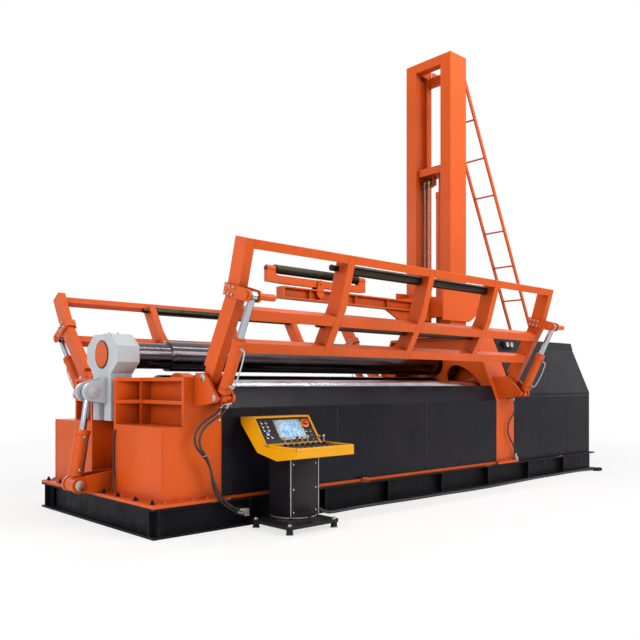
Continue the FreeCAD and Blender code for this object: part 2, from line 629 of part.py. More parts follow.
def table_posts(side):
    posts = []
    half = TABLE_POST_WIDTH / 2
    for x in post_centres():
        outer = abs(x) == TABLE_POST_X[-1]
        x0, x1 = x - half, x + half
        top = TABLE_TOP_S if outer else TOP_RAIL_S
        low = 0.0 if outer else LOW_RAIL_S[0]
        lower = table_box(x0, x1, TABLE_BACK_D, TABLE_FRONT_D, low, TABLE_BEND_S)
        upper = bent(table_box(x0, x1, TABLE_BACK_D, TABLE_FRONT_D, TABLE_BEND_S, top))
        post = fused([lower, upper])
        if outer:
            post = post.cut(table_box(x0 - 1, x1 + 1, TABLE_BACK_D - 1, -TABLE_FOOT_R, -1, 90))
            post = fused([post, cyl_x(0, 0, TABLE_FOOT_R, x0, x1)])
            post = post.cut(cyl_x(0, 0, TABLE_PIN_R + PIN_GAP, x0 - 1, x1 + 1))
        else:
            holes = [cyl_x(-ROLLER_D, s, ROLLER_SHAFT_R + PIN_GAP, x0 - 1, x1 + 1) for s in ROLLER_S]
            post = post.cut(holes[0]).cut(bent(holes[1]))
        posts.append(table_piece(post, side))
    return posts


def table_rails(side):
    half = TABLE_POST_WIDTH / 2
    d0, d1 = TABLE_FRONT_D - RAIL_DEPTH, TABLE_FRONT_D
    inner = TABLE_POST_X[-1] - half
    rails = [bent(table_box(-inner, inner, d0, d1, TOP_RAIL_S, TABLE_TOP_S))]
    centres = post_centres()
    for left, right in zip(centres, centres[1:]):
        for s0, s1 in (MID_RAIL_S, LOW_RAIL_S):
            rails.append(table_box(left + half, right - half, d0, d1, s0, s1))
    return [table_piece(r, side) for r in rails]


def table_clamps(side):
    """Clamps round the end posts at the bend, each with two cheeks that hold a rod's eye."""
    half = TABLE_POST_WIDTH / 2
    r = CLAMP_HEIGHT / 2
    s = TABLE_HEAD_S
    clamps = []
    for x in (-TABLE_POST_X[-1], TABLE_POST_X[-1]):
        pieces = [box(x - half - CLAMP, x + half + CLAMP, -TABLE_BACK_D, -TABLE_BACK_D + CLAMP,
                      s - r + 20, s + r)]
        for low in (x - half - CLAMP, x + half):
            pieces.append(box(low, low + CLAMP, -TABLE_FRONT_D, -TABLE_BACK_D + CLAMP, s - r, s + r))
            pieces.append(strap((-TABLE_FRONT_D, s, r), (-TABLE_HEAD_D, s, r - 0.5), "yz", low, low + CLAMP))
        inner, outer = x + half + CLAMP, x - half - CLAMP
        pieces.append(cyl_x(-TABLE_HEAD_D, s, CLAMP_PIN_R, inner - 1, inner + CLAMP_STUB))
        pieces.append(cyl_x(-TABLE_HEAD_D, s, CLAMP_PIN_R, outer - 16, outer + 1))
        clamps.append(table_piece(bent(fused(pieces)), side))
    return clamps


def roller_line(side, upper):
    s = ROLLER_S[1] if upper else ROLLER_S[0]
    bay = TABLE_POST_X[1]
    half = TABLE_POST_WIDTH / 2
    shaft = cyl_x(-ROLLER_D, s, ROLLER_SHAFT_R, -bay - half - ROLLER_STUB, bay + half + ROLLER_STUB)
    knobs = [cyl_x(-ROLLER_D, s, ROLLER_SHAFT_R + 9, x - 45, x + 45)
             for x in (-bay - half - 62, bay + half + 62)]
    tubes = [cyl_x(-ROLLER_D, s, ROLLER_R, x0, x0 + bay - 2 * half - 30)
             for x0 in (-bay + half + 15, half + 15)]
    line = fused([shaft] + knobs + tubes)
    return [table_piece(bent(line) if upper else line, side)]


def table_ears():
    """Ear plates on the end frames, with the hinge pins and the cylinders' lower pins."""
    hy, hz = -TABLE_HINGE[0], TABLE_HINGE[1]
    fy, fz = -TABLE_FOOT[0], TABLE_FOOT[1]
    inner_y = -FRAME_HALF_Y + 150
    ears = []
    for x in EAR_X:
        plate = strap((hy, hz, EAR_HINGE_R), (fy, fz, EAR_FOOT_R), "yz", x, x + EAR)
        web = prism_x([(inner_y, hz + EAR_HINGE_R), (hy, hz + EAR_HINGE_R), (fy, fz),
                       (fy + 12, fz - EAR_FOOT_R + 1), (-FRAME_HALF_Y, EAR_ROOT_Z),
                       (inner_y, EAR_ROOT_Z)], x, x + EAR)
        ears.append(plate.fuse(web))
    lo, hi = EAR_X[0] + EAR - 1, EAR_X[1] + 1
    pins = [cyl_x(hy, hz, TABLE_PIN_R, lo, hi), cyl_x(fy, fz, TABLE_PIN_R, lo, hi)]
    ears = fused(ears + pins)
    drive = ears.cut(prism_x(drive_outline(), FRAME_INNER_X - 1, DRIVE_OUTER_X + 1))
    drop = flip_x(ears).cut(box(-DROP_TOWER_X, -FRAME_INNER_X + 1, -FRAME_HALF_Y, 0, 0, DRIVE_TOP))
    return both_y([drive, drop])


def lean_out(piece, foot, head):
    """Turns a piece that stands on foot, (y, z), so that it points at head, on the front side."""
    angle = math.degrees(math.atan2(head[0] - foot[0], head[1] - foot[1]))
    return turned(piece, Vector(0, -foot[0], foot[1]), Vector(1, 0, 0), angle)


def table_cylinders(side):
    y, z = -TABLE_FOOT[0], TABLE_FOOT[1]
    half = TABLE_EYE_WIDTH / 2
    cylinders = []
    for x in (-TABLE_POST_X[-1], TABLE_POST_X[-1]):
        body = barrel(x, y, z, TABLE_BARREL_R, TABLE_BARREL_R - 13, TABLE_ROD_R, 66,
                      TABLE_BARREL_LENGTH)
        eye = cyl_x(y, z, TABLE_EYE_R, x - half, x + half)
        neck = cyl_z(x, y, half, z, z + 70)
        port = cyl_y(x, z + 120, 18, y - TABLE_BARREL_R - 22, y - TABLE_BARREL_R + 12)
        body = fused([body, eye, neck, port])
        body = body.cut(cyl_x(y, z, TABLE_PIN_R + PIN_GAP, x - half - 1, x + half + 1))
        cylinders.append(lean_out(body, TABLE_FOOT, table_head(side)))
    return cylinders


def table_rods(side):
    y, z = -TABLE_FOOT[0], TABLE_FOOT[1]
    head = table_head(side)
    reach = math.hypot(head[0] - TABLE_FOOT[0], head[1] - TABLE_FOOT[1])
    start = TABLE_BARREL_LENGTH - ROD_HOLD[side]
    half = TABLE_EYE_WIDTH / 2
    rods = []
    for x in (-TABLE_POST_X[-1], TABLE_POST_X[-1]):
        rod = cyl_z(x, y, TABLE_ROD_R, z + start, z + reach - 20)
        piston = cyl_z(x, y, TABLE_BARREL_R - 13.5, z + start, z + start + 50)
        eye = cyl_x(y, z + reach, TABLE_EYE_R, x - half, x + half)
        rods.append(lean_out(fused([rod, piston, eye]), TABLE_FOOT, head))
    return rods


# Column, ladder and support arm

def column_posts():
    low = DRIVE_TOP + COLUMN_FOOT
    x0, x1 = COLUMN_X
    post = box(x0, x1, -COLUMN_OUTER_Y, -COLUMN_INNER_Y, low, COLUMN_TOP)
    mid = (x0 + x1) / 2
    groove = box(mid - GROOVE_HALF_X, mid + GROOVE_HALF_X, -COLUMN_INNER_Y - COLUMN_GROOVE, -COLUMN_INNER_Y + 1, low - 1,
                 COLUMN_TOP - COLUMN_BAR)
    return both_y([post.cut(groove)])


def column_bars():
    x0, x1 = COLUMN_X
    y = COLUMN_INNER_Y
    low = DRIVE_TOP
    bars = [box(x0, x0 + 150, -y, y, COLUMN_TOP - COLUMN_BAR, COLUMN_TOP),
            box(x1 - 90, x1, -y, y, COLUMN_TOP - 2 * COLUMN_BAR, COLUMN_TOP - COLUMN_BAR),
            box(x0 - 45, DRIVE_OUTER_X, -COLUMN_OUTER_Y - 90, COLUMN_OUTER_Y + 90, low, low + COLUMN_FOOT)]
    return bars


def lift_barrel():
    body = cyl_z(LIFT_X, LIFT_Y, LIFT_BARREL_R, DRIVE_TOP + COLUMN_FOOT, LIFT_BARREL_TOP)
    head = cyl_z(LIFT_X, LIFT_Y, LIFT_BARREL_R + 8, LIFT_BARREL_TOP - 90, LIFT_BARREL_TOP)
    hollow = cyl_z(LIFT_X, LIFT_Y, LIFT_BORE_R, DRIVE_TOP + COLUMN_FOOT + 40, LIFT_BARREL_TOP - 80)
    hole = cyl_z(LIFT_X, LIFT_Y, LIFT_ROD_R + PIN_GAP, LIFT_BARREL_TOP - 90, LIFT_BARREL_TOP + 1)
    return [body.fuse(head).cut(hollow).cut(hole).removeSplitter()]


def lift_crosshead():
    y, z = COLUMN_INNER_Y - 14, CROSSHEAD_Z
    top = z + CROSSHEAD_HEIGHT
    groove = COLUMN_INNER_Y + COLUMN_GROOVE
    shoe = GROOVE_HALF_X - SHOE_GAP
    bar = box(COLUMN_X[0] + CROSSHEAD_INSET, COLUMN_X[1] - CROSSHEAD_INSET, -y, y, z, top)
    pieces = [bar] + both_y([box(LIFT_X - shoe, LIFT_X + shoe, -groove + PIN_GAP, -y, z - 60, top)])
    for low in HANGER_Y:
        pieces.append(box(LIFT_X - 45, LIFT_X + 45, low, low + HANGER, z - SHEAVE_DROP - 45, z + 1))
    pieces.append(cyl_z(LIFT_X, LIFT_Y, LIFT_ROD_R, ROD_FOOT_Z, z + 1))
    pieces.append(cyl_z(LIFT_X, LIFT_Y, LIFT_BORE_R - 0.5, ROD_FOOT_Z, ROD_FOOT_Z + 80))
    return [fused(pieces)]


def lift_sheaves():
    """The grooved wheels of the two chains, on an axle from one hanger plate to the other."""
    z = CROSSHEAD_Z - SHEAVE_DROP
    wheels = []
    for y in SHEAVE_Y:
        rim = cyl_y(LIFT_X, z, SHEAVE_R, y, y + SHEAVE_WIDTH)
        groove = cyl_y(LIFT_X, z, SHEAVE_R + 1, y + 14, y + SHEAVE_WIDTH - 14)
        core = cyl_y(LIFT_X, z, SHEAVE_R - 14, y + 14, y + SHEAVE_WIDTH - 14)
        wheels.append(rim.cut(groove).fuse(core).removeSplitter())
    return [fused(wheels + [cyl_y(LIFT_X, z, 20, HANGER_Y[0] + HANGER, HANGER_Y[1])])]


def lift_chains():
    x1 = LIFT_X - SHEAVE_R + 14
    return [box(x1 - 8, x1, y + 14, y + SHEAVE_WIDTH - 14, BEAM_Z + 150, CROSSHEAD_Z - SHEAVE_DROP)
            for y in SHEAVE_Y]


def arm_carriage():
    y0 = COLUMN_OUTER_Y + CARRIAGE_GAP
    y1 = y0 + CARRIAGE_PLATE
    x0 = COLUMN_X[0] - CARRIAGE_GAP
    x1 = COLUMN_X[1] + CARRIAGE_GAP
    edge = [Vector(2215, -y1, CARRIAGE_LOW), Vector(2215, -y1, CARRIAGE_HIGH),
            Vector(3270, -y1, CARRIAGE_HIGH + 30), Vector(2885, -y1, CARRIAGE_LOW)]
    lines = [Part.LineSegment(edge[0], edge[1]).toShape(), Part.LineSegment(edge[1], edge[2]).toShape(),
             Part.Arc(edge[2], Vector(3165, -y1, 2720), edge[3]).toShape(),
             Part.LineSegment(edge[3], edge[0]).toShape()]
    cheek = Part.Face(Part.Wire(lines)).extrude(Vector(0, CARRIAGE_PLATE, 0))
    front = box(x0 - 150, x0, -y0, y0, CARRIAGE_LOW + 60, CARRIAGE_HIGH - 120)
    rear = box(x1, x1 + 110, -y0, y0, CARRIAGE_LOW + 180, CARRIAGE_HIGH - 60)
    tongue = box(x0 - 1, x1 + 1, 30, 215, BEAM_Z - 90, BEAM_Z + 150)
    nose = box(BEAM_RIGHT, x0 - 149, -180, 180, CARRIAGE_LOW, CARRIAGE_HIGH - 130)
    return [fused(both_y([cheek]) + [front, rear, tongue, nose])]


def arm_beam():
    z0, z1 = BEAM_Z - BEAM_HALF_Z, BEAM_Z + BEAM_HALF_Z
    y = BEAM_HALF_Y
    pieces = [box(BEAM_LEFT, BEAM_RIGHT, -y, y, z0, z0 + 20), box(BEAM_LEFT, BEAM_RIGHT, -y, y, z1 - 20, z1),
              box(BEAM_LEFT, BEAM_RIGHT, -12, 12, z0 + 10, z1 - 10),
              box(BEAM_LEFT, BEAM_LEFT + 25, -y, y, z0, z1)]
    for x in (-200.0, 0.0, 700.0, 1400.0):
        pieces.append(box(x - 8, x + 8, -y + 8, y - 8, z0 + 10, z1 - 10))
    pieces.append(prism_y([(1400, z0), (BEAM_RIGHT, z0), (BEAM_RIGHT, CARRIAGE_LOW + 10),
                           (1690, CARRIAGE_LOW + 10)], -20, 20))
    for side in (-1, 1):
        low, high = sorted((side * 44, side * 66))
        pieces.append(strap((0, z1 - 40, 70), (0, CRADLE_PIN_Z, 45), "xz", low, high))
    pieces.append(cyl_y(0, CRADLE_PIN_Z, 20, -80, 80))
    return [fused(pieces)]


def roller_cradle():
    half = CRADLE_HALF_X
    pin = CRADLE_PIN_Z
    low = [(-half, pin - 48), (-half + 60, pin - 52), (-600, pin - 60), (600, pin - 60),
           (half - 60, pin - 52), (half, pin - 48)]
    outline = low + [(half, pin + 60), (half - 120, pin + 60), (half - 190, pin + 42),
                     (-half + 190, pin + 42), (-half + 120, pin + 60), (-half, pin + 60)]
    pieces = [prism_y(outline, -36, 36)]
    for side in (-1, 1):
        x = side * (CRADLE_ROLLER_HALF + 5)
        low_x, high_x = sorted((x, side * half))
        pieces.append(box(low_x, high_x, -36, 36, pin, CRADLE_ROLLER_Z))
        pieces.append(cyl_x(0, CRADLE_ROLLER_Z, 44, low_x, high_x))
    cradle = fused(pieces)
    cradle = cradle.cut(cyl_x(0, CRADLE_ROLLER_Z, 22 + PIN_GAP, -half - 1, half + 1))
    return [cradle.cut(cyl_y(0, pin, 20 + PIN_GAP, -50, 50))]


def arm_roller():
    end = CRADLE_ROLLER_HALF
    stub = CRADLE_HALF_X + 12
    profile = [(-stub, 22), (-end, 22), (-end, CRADLE_ROLLER_R), (end, CRADLE_ROLLER_R), (end, 22), (stub, 22)]
    return [lathe_x(profile, 0, CRADLE_ROLLER_Z)]


def ladder_piece(shapes):
    """Leans pieces of the ladder, drawn upright on its foot, to its top, and trims them there."""
    (tx, tz), (fx, fz) = LADDER_TOP, LADDER_FOOT
    angle = math.degrees(math.atan2(tx - fx, tz - fz))
    floor = box(fx - 200, fx + 200, -400, 400, 0, COVER_TOP + LADDER_SOLE)
    pieces = []
    for shape in shapes:
        shape = turned(shape, Vector(0, 0, 0), Vector(0, 1, 0), angle)
        shape.translate(Vector(fx, 0, fz))
        pieces.append(shape.cut(floor))
    return pieces


def ladder():
    length = math.hypot(LADDER_TOP[0] - LADDER_FOOT[0], LADDER_TOP[1] - LADDER_FOOT[1])
    half_x, half_y = LADDER_RAIL / 2, LADDER_RAIL_Y / 2
    return ladder_piece([box(-half_x, half_x, y - half_y, y + half_y, -60, length)
                         for y in (-LADDER_HALF_Y, LADDER_HALF_Y)])


def ladder_rungs():
    length = math.hypot(LADDER_TOP[0] - LADDER_FOOT[0], LADDER_TOP[1] - LADDER_FOOT[1])
    reach = LADDER_HALF_Y - LADDER_RAIL_Y / 2
    count = int((length - 360) // RUNG_PITCH)
    return ladder_piece([cyl_y(0, 260 + n * RUNG_PITCH, RUNG_R, -reach, reach)
                         for n in range(count + 1)])


def ladder_brackets():
    tx, tz = LADDER_TOP
    fx = LADDER_FOOT[0]
    outer = LADDER_HALF_Y + LADDER_RAIL_Y / 2
    cheek = box(COLUMN_X[1], tx + 60, outer, outer + 16, tz - 130, tz + 20)
    sole = box(fx - 80, fx + 60, -LADDER_HALF_Y - 60, LADDER_HALF_Y + 60, COVER_TOP,
               COVER_TOP + LADDER_SOLE)
    return both_y([cheek]) + [sole]


# Sheet metal

def front_panel():
    low = BASE_HEIGHT + SOLE_PLATE
    y, t = -PANEL_Y, PANEL
    ty, tz = -PANEL_TOP[0], PANEL_TOP[1]
    outline = [(y, low), (y, PANEL_BEND_Z), (ty, tz), (ty + 80, tz), (ty + 80, tz - t),
               (ty + t, tz - t), (y + t, PANEL_BEND_Z), (y + t, low)]
    return [prism_x(outline, -FRAME_INNER_X, FRAME_INNER_X)]


def cover_outline(inset):
    slope = (FRAME_HALF_Y - 940) / (2080 - 1355)
    points = [(FRAME_HALF_Y - inset, 1355 - inset * slope / 2), (940 - inset, 2080),
              (900 - inset, COVER_TOP - inset)]
    low = BASE_HEIGHT
    right = [(FRAME_HALF_Y - inset, low)] + points
    return right + [(-y, z) for y, z in reversed(right)]


def drive_cover():
    shell = prism_x(cover_outline(0), DRIVE_OUTER_X, COVER_RIGHT)
    hollow = prism_x(cover_outline(COVER), DRIVE_OUTER_X + COVER, COVER_RIGHT - COVER)
    hollow.translate(Vector(0, 0, 0))
    below = box(DRIVE_OUTER_X + COVER, COVER_RIGHT - COVER, -FRAME_HALF_Y + COVER, FRAME_HALF_Y - COVER,
                BASE_HEIGHT - 1, BASE_HEIGHT + 60)
    shell = shell.cut(hollow).cut(below)
    return [shell.cut(cyl_x(0, TOP_ROLL_Z, TOP_DRIVE_R + 20, DRIVE_OUTER_X - 1, DRIVE_OUTER_X + COVER + 1))]


# Console

def console_base():
    x0, x1, y0, y1 = CONSOLE_BASE
    z0, z1 = CONSOLE_PLATE_Z
    plate = box(x0, x1, y0, y1, z0, z1)
    plate = plate.makeFillet(60, [e for e in plate.Edges if e.BoundBox.ZLength > 1])
    mx = (CONSOLE_POST[0] + CONSOLE_POST[1]) / 2
    my = (CONSOLE_POST[2] + CONSOLE_POST[3]) / 2
    disc = cyl_z(mx, my, CONSOLE_DISC_R, z1 - 1, z1 + 14)
    disc = disc.cut(box(x0, x1, y1, y1 + 400, z1 - 2, z1 + 20))
    feet = [cyl_z(x, y, 34, 0, z0 + 1) for x in (x0 + 50, x1 - 50) for y in (y0 + 50, y1 - 50)]
    return [fused([plate, disc] + feet)]


def console_post():
    x0, x1, y0, y1 = CONSOLE_POST
    return [box(x0, x1, y0, y1, CONSOLE_PLATE_Z[1] + 14, 775)]


def console_desk():
    x0, x1 = CONSOLE_X
    body = prism_x([(CONSOLE_BACK_Y + y, z) for y, z in CONSOLE_PROFILE], x0, x1)
    post = box(*CONSOLE_POST, 700, 775)
    return [body.cut(post)]


# Hoses and cable

def cord_wire(route):
    """Straight runs joined by tangent arcs, as wide as the shorter run beside each point allows."""
    points = [Vector(*p) for p in route]
    edges, radii = [], []
    start = points[0]
    for before, corner, after in zip(points, points[1:], points[2:]):
        back, ahead = before - corner, after - corner
        trim = 0.45 * min(back.Length, ahead.Length)
        half_turn = (math.pi - back.getAngle(ahead)) / 2
        radii.append(trim / math.tan(half_turn))
        back.normalize()
        ahead.normalize()
        inward = back + ahead
        inward.normalize()
        first, last = corner + back * trim, corner + ahead * trim
        middle = corner + inward * (radii[-1] / math.cos(half_turn) - radii[-1])
        edges += [Part.LineSegment(start, first).toShape(), Part.Arc(first, middle, last).toShape()]
        start = last
    edges.append(Part.LineSegment(start, points[-1]).toShape())
    return Part.Wire(edges), radii


def cord_tube(route, r):
    wire = cord_wire(route)[0]
    way = Vector(*route[1]) - Vector(*route[0])
    section = Part.Face(Part.Wire(Part.makeCircle(r, Vector(*route[0]), way)))
    tube = wire.makePipeShell([section.OuterWire], True, True)
    return Part.Solid(tube) if tube.ShapeType == "Shell" else tube


def cord(name, route, r):
    wire, radii = cord_wire(route)
    solid = cord_tube(route, r)
    share = solid.Volume / (math.pi * r * r * wire.Length)
    print(f"{name}: length {wire.Length:.0f}, radii {min(radii):.0f} to {max(radii):.0f}, "
          f"volume share {share:.4f}")
    return [solid]


def hose_blocks():
    """Blocks that the hoses end in: on the ears, on the base beam's web and on the sole plate."""
    top_z = OUTER_DROP_HOSE[0][2]
    inner_x = -EAR_X[0]
    web_y = -BASE_HALF_Y + (BEAM_WIDTH - BEAM_WEB) / 2
    low = OUTER_DROP_HOSE[-1][0]
    sole = BASE_HEIGHT + SOLE_PLATE
    right = EAR_X[1] + EAR
    x, y, z = DRIVE_HOSE[-1]
    blocks = [box(inner_x, inner_x + 105, -1412, -1336, top_z - 10, top_z + 35),
              box(low - 10, low + 50, -1412, web_y, 120, 200),
              box(right, right + 75, -1330, -1280, DRIVE_HOSE[0][2] - 10, DRIVE_HOSE[0][2] + 35),
              box(x - 25, x + 25, y - 25, y + 25, sole, z + 10)]
    for route in (OUTER_DROP_HOSE, INNER_DROP_HOSE, DRIVE_HOSE):
        tube = cord_tube(route, HOSE_R)
        blocks = [block.cut(tube) for block in blocks]
    return blocks


def console_gland():
    x, y, z = FLOOR_CABLE[0]
    return [cyl_x(y, z, CABLE_R + 10, CONSOLE_POST[1], x + 12).cut(cord_tube(FLOOR_CABLE, CABLE_R))]


def cable_connector():
    """A round connector that lies on the floor at the cable's end."""
    end, before = Vector(*FLOOR_CABLE[-1]), Vector(*FLOOR_CABLE[-2])
    way = end - before
    way.z = 0
    way.normalize()
    body = Part.makeCylinder(end.z, 120, end - way * 10, way)
    collar = Part.makeCylinder(end.z - 5, 22, end + way * 110, way)
    return [body.fuse(collar).removeSplitter().cut(cord_tube(FLOOR_CABLE, CABLE_R))]


NODES = {
    "outer_drop_hose": lambda: cord("outer_drop_hose", OUTER_DROP_HOSE, HOSE_R),
    "inner_drop_hose": lambda: cord("inner_drop_hose", INNER_DROP_HOSE, HOSE_R),
    "drive_hose": lambda: cord("drive_hose", DRIVE_HOSE, HOSE_R),
    "floor_cable": lambda: cord("floor_cable", FLOOR_CABLE, CABLE_R),
    "hose_blocks": hose_blocks, "console_gland": console_gland, "cable_connector": cable_connector,
    "base_side_beams": base_side_beams, "base_cross_beams": base_cross_beams,
    "sole_plates": sole_plates, "drop_end_frame": drop_end_frame, "drive_end_frame": drive_end_frame,
    "top_roll_bearing": top_roll_bearing, "bottom_roll_blocks": bottom_roll_blocks,
    "front_panel": front_panel, "drive_cover": drive_cover, "table_ears": table_ears,
    "drop_cylinder_ears": drop_cylinder_ears,
    "top_roll": top_roll, "bottom_roll": bottom_roll,
    "front_side_roll": front_side_roll, "front_side_arms": front_side_arms,
    "drop_end_yoke": drop_end_yoke, "yoke_cap": yoke_cap,
    "drop_cylinder": drop_cylinder, "drop_rod": drop_rod,
    "column_posts": column_posts, "column_bars": column_bars,
    "lift_barrel": lift_barrel, "lift_crosshead": lift_crosshead, "lift_sheaves": lift_sheaves,
    "lift_chains": lift_chains, "arm_carriage": arm_carriage, "arm_beam": arm_beam,
    "roller_cradle": roller_cradle, "arm_roller": arm_roller,
    "ladder": ladder, "ladder_rungs": ladder_rungs, "ladder_brackets": ladder_brackets,
    "console_base": console_base, "console_post": console_post, "console_desk": console_desk,
}
FRONT_AND_BACK = ("front_panel", "front_side_roll", "front_side_arms")
TABLE_NODES = {
    "table_posts": table_posts, "table_rails": table_rails, "table_clamps": table_clamps,
    "lower_roller": lambda side: roller_line(side, False),
    "upper_roller": lambda side: roller_line(side, True),
    "table_cylinders": table_cylinders, "table_rods": table_rods,
}


def save(name, solids):
    for solid in solids:
        if not solid.isValid() or len(solid.Solids) != 1:
            raise ValueError(f"{name}: {len(solid.Solids)} solids, valid {solid.isValid()}")
    solids = [s.Solids[0] for s in solids]
    shape = solids[0] if len(solids) == 1 else Part.makeCompound(solids)
    shape.exportStep(os.path.join("parts", name + ".step"))


def main():
    os.makedirs("parts", exist_ok=True)
    for name, make in NODES.items():
        solids = make()
        save(name, solids)
        if name in FRONT_AND_BACK:
            save(name.replace("front", "back"), [flip_y(s) for s in solids])
    for name, make in TABLE_NODES.items():
        save("front_" + name, make("front"))
        save("back_" + name, [flip_y(s) for s in make("back")])


main()
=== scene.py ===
"""Looks of the plate rolling machine: paint, steel, hoses, bolts, welds, console and light. Metres."""
import json
import math

import bmesh
import bpy
import numpy as np
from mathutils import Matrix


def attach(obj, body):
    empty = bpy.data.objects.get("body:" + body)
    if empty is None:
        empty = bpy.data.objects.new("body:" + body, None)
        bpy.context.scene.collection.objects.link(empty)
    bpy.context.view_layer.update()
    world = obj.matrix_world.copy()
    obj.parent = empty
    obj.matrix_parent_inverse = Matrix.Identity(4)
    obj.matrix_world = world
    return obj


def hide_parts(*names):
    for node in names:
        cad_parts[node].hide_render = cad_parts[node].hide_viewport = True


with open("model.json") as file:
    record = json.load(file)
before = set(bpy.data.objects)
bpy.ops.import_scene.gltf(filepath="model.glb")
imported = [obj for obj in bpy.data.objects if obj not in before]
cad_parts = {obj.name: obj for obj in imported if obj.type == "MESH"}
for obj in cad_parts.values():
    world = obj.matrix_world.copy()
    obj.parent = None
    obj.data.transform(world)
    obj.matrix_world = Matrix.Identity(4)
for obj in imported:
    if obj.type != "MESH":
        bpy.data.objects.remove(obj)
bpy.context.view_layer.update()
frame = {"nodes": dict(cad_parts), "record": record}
bpy.context.scene.view_settings.view_transform = "Standard"
NODES = frame["nodes"]

# Colours, linear
ORANGE = (0.72, 0.100, 0.008)
PRIMER = (0.55, 0.20, 0.09)
DESK_YELLOW = (0.88, 0.40, 0.004)
DESK_PRIMER = (0.50, 0.26, 0.06)
YOKE_GREY = (0.50, 0.53, 0.56)
# Painted reflection: the rolls' steel is made far darker and more plum-brown than bare steel, for the dark
# and orange surroundings that it reflects
ROLL_DARK_REFLECTION = (0.085, 0.072, 0.078)
ROLLER_DARK = (0.040, 0.037, 0.024)

# Places taken from the solids
SOLE_TOP = 0.330
SIDES = {"front": -1.0, "back": 1.0}
TABLE_LEAN = {"front": 29.0, "back": 44.0}
TABLE_BEND = 13.0
BEND_D, BEND_S = 0.075, 0.900
HINGE = (1.390, 1.560)
CYLINDER_FOOT = (1.580, 1.360)
CYLINDER_HEAD = (0.240, 0.965)
LUG_EYE = (-3.390, 1.414)
DROP_FOOT = (-3.550, 0.422)
POST_X = (-2.740, -1.370, 0.0, 1.370, 2.740)

# Hoses and cable: the routes' points
OUTER_DROP_HOSE = ((-2.530, -1.392, 1.300), (-2.570, -1.391, 1.215), (-2.690, -1.388, 1.150),
                   (-2.820, -1.386, 1.066), (-2.885, -1.388, 0.970), (-2.875, -1.391, 0.860),
                   (-2.800, -1.392, 0.775), (-2.757, -1.390, 0.668), (-2.723, -1.388, 0.548),
                   (-2.674, -1.388, 0.432), (-2.613, -1.390, 0.344), (-2.535, -1.392, 0.270),
                   (-2.450, -1.390, 0.213), (-2.330, -1.388, 0.178))
INNER_DROP_HOSE = ((-2.577, -1.356, 1.300), (-2.618, -1.357, 1.219), (-2.728, -1.359, 1.163),
                   (-2.850, -1.360, 1.092), (-2.920, -1.360, 0.996), (-2.912, -1.360, 0.882),
                   (-2.832, -1.359, 0.797), (-2.758, -1.358, 0.711), (-2.712, -1.357, 0.600),
                   (-2.704, -1.358, 0.478), (-2.664, -1.360, 0.368), (-2.588, -1.361, 0.282),
                   (-2.490, -1.360, 0.215), (-2.414, -1.358, 0.168), (-2.330, -1.357, 0.150))
DRIVE_HOSE = ((2.885, -1.305, 1.300), (2.925, -1.308, 1.210), (2.930, -1.312, 1.110),
              (2.880, -1.314, 1.020), (2.800, -1.312, 0.950), (2.748, -1.308, 0.858),
              (2.750, -1.306, 0.755), (2.805, -1.306, 0.665), (2.880, -1.308, 0.590),
              (2.938, -1.307, 0.500), (2.972, -1.305, 0.430), (2.975, -1.305, 0.366))
FLOOR_CABLE = ((-1.600, -1.500, 0.190), (-1.480, -1.497, 0.165), (-1.370, -1.485, 0.105),
               (-1.255, -1.470, 0.050), (-1.140, -1.447, 0.021), (-0.930, -1.424, 0.0185),
               (-0.540, -1.400, 0.0185), (-0.040, -1.424, 0.0185), (0.460, -1.451, 0.0185),
               (0.960, -1.446, 0.0185), (1.460, -1.478, 0.0185), (1.960, -1.482, 0.0185),
               (2.460, -1.455, 0.0185), (2.960, -1.432, 0.0185), (3.460, -1.402, 0.0185),
               (3.960, -1.409, 0.0185), (4.430, -1.396, 0.0185), (4.800, -1.404, 0.0185),
               (4.970, -1.450, 0.022), (5.071, -1.526, 0.032))
HOSE_D = 0.024
CABLE_D = 0.036


# Camera, light and floor

def camera():
    data = bpy.data.cameras.new("camera")
    data.lens = 40.95
    data.sensor_width = 36.0
    data.shift_y = 0.1
    data.clip_end = 200.0
    cam = bpy.data.objects.new("camera", data)
    cam.location = (-6.927, -7.517, 1.5)
    cam.rotation_euler = (math.radians(90.0), 0.0, math.radians(-42.84))
    bpy.context.scene.collection.objects.link(cam)
    bpy.context.scene.camera = cam


def area_light(name, place, aim, size, power):
    data = bpy.data.lights.new(name, "AREA")
    data.shape = "RECTANGLE"
    data.size, data.size_y = size
    data.energy = power
    lamp = bpy.data.objects.new(name, data)
    lamp.location = place
    way = np.array(aim, float) - np.array(place, float)
    yaw = math.atan2(-way[0], way[1])
    pitch = math.atan2(math.hypot(way[0], way[1]), -way[2])
    lamp.rotation_euler = (pitch, 0.0, yaw)
    bpy.context.scene.collection.objects.link(lamp)


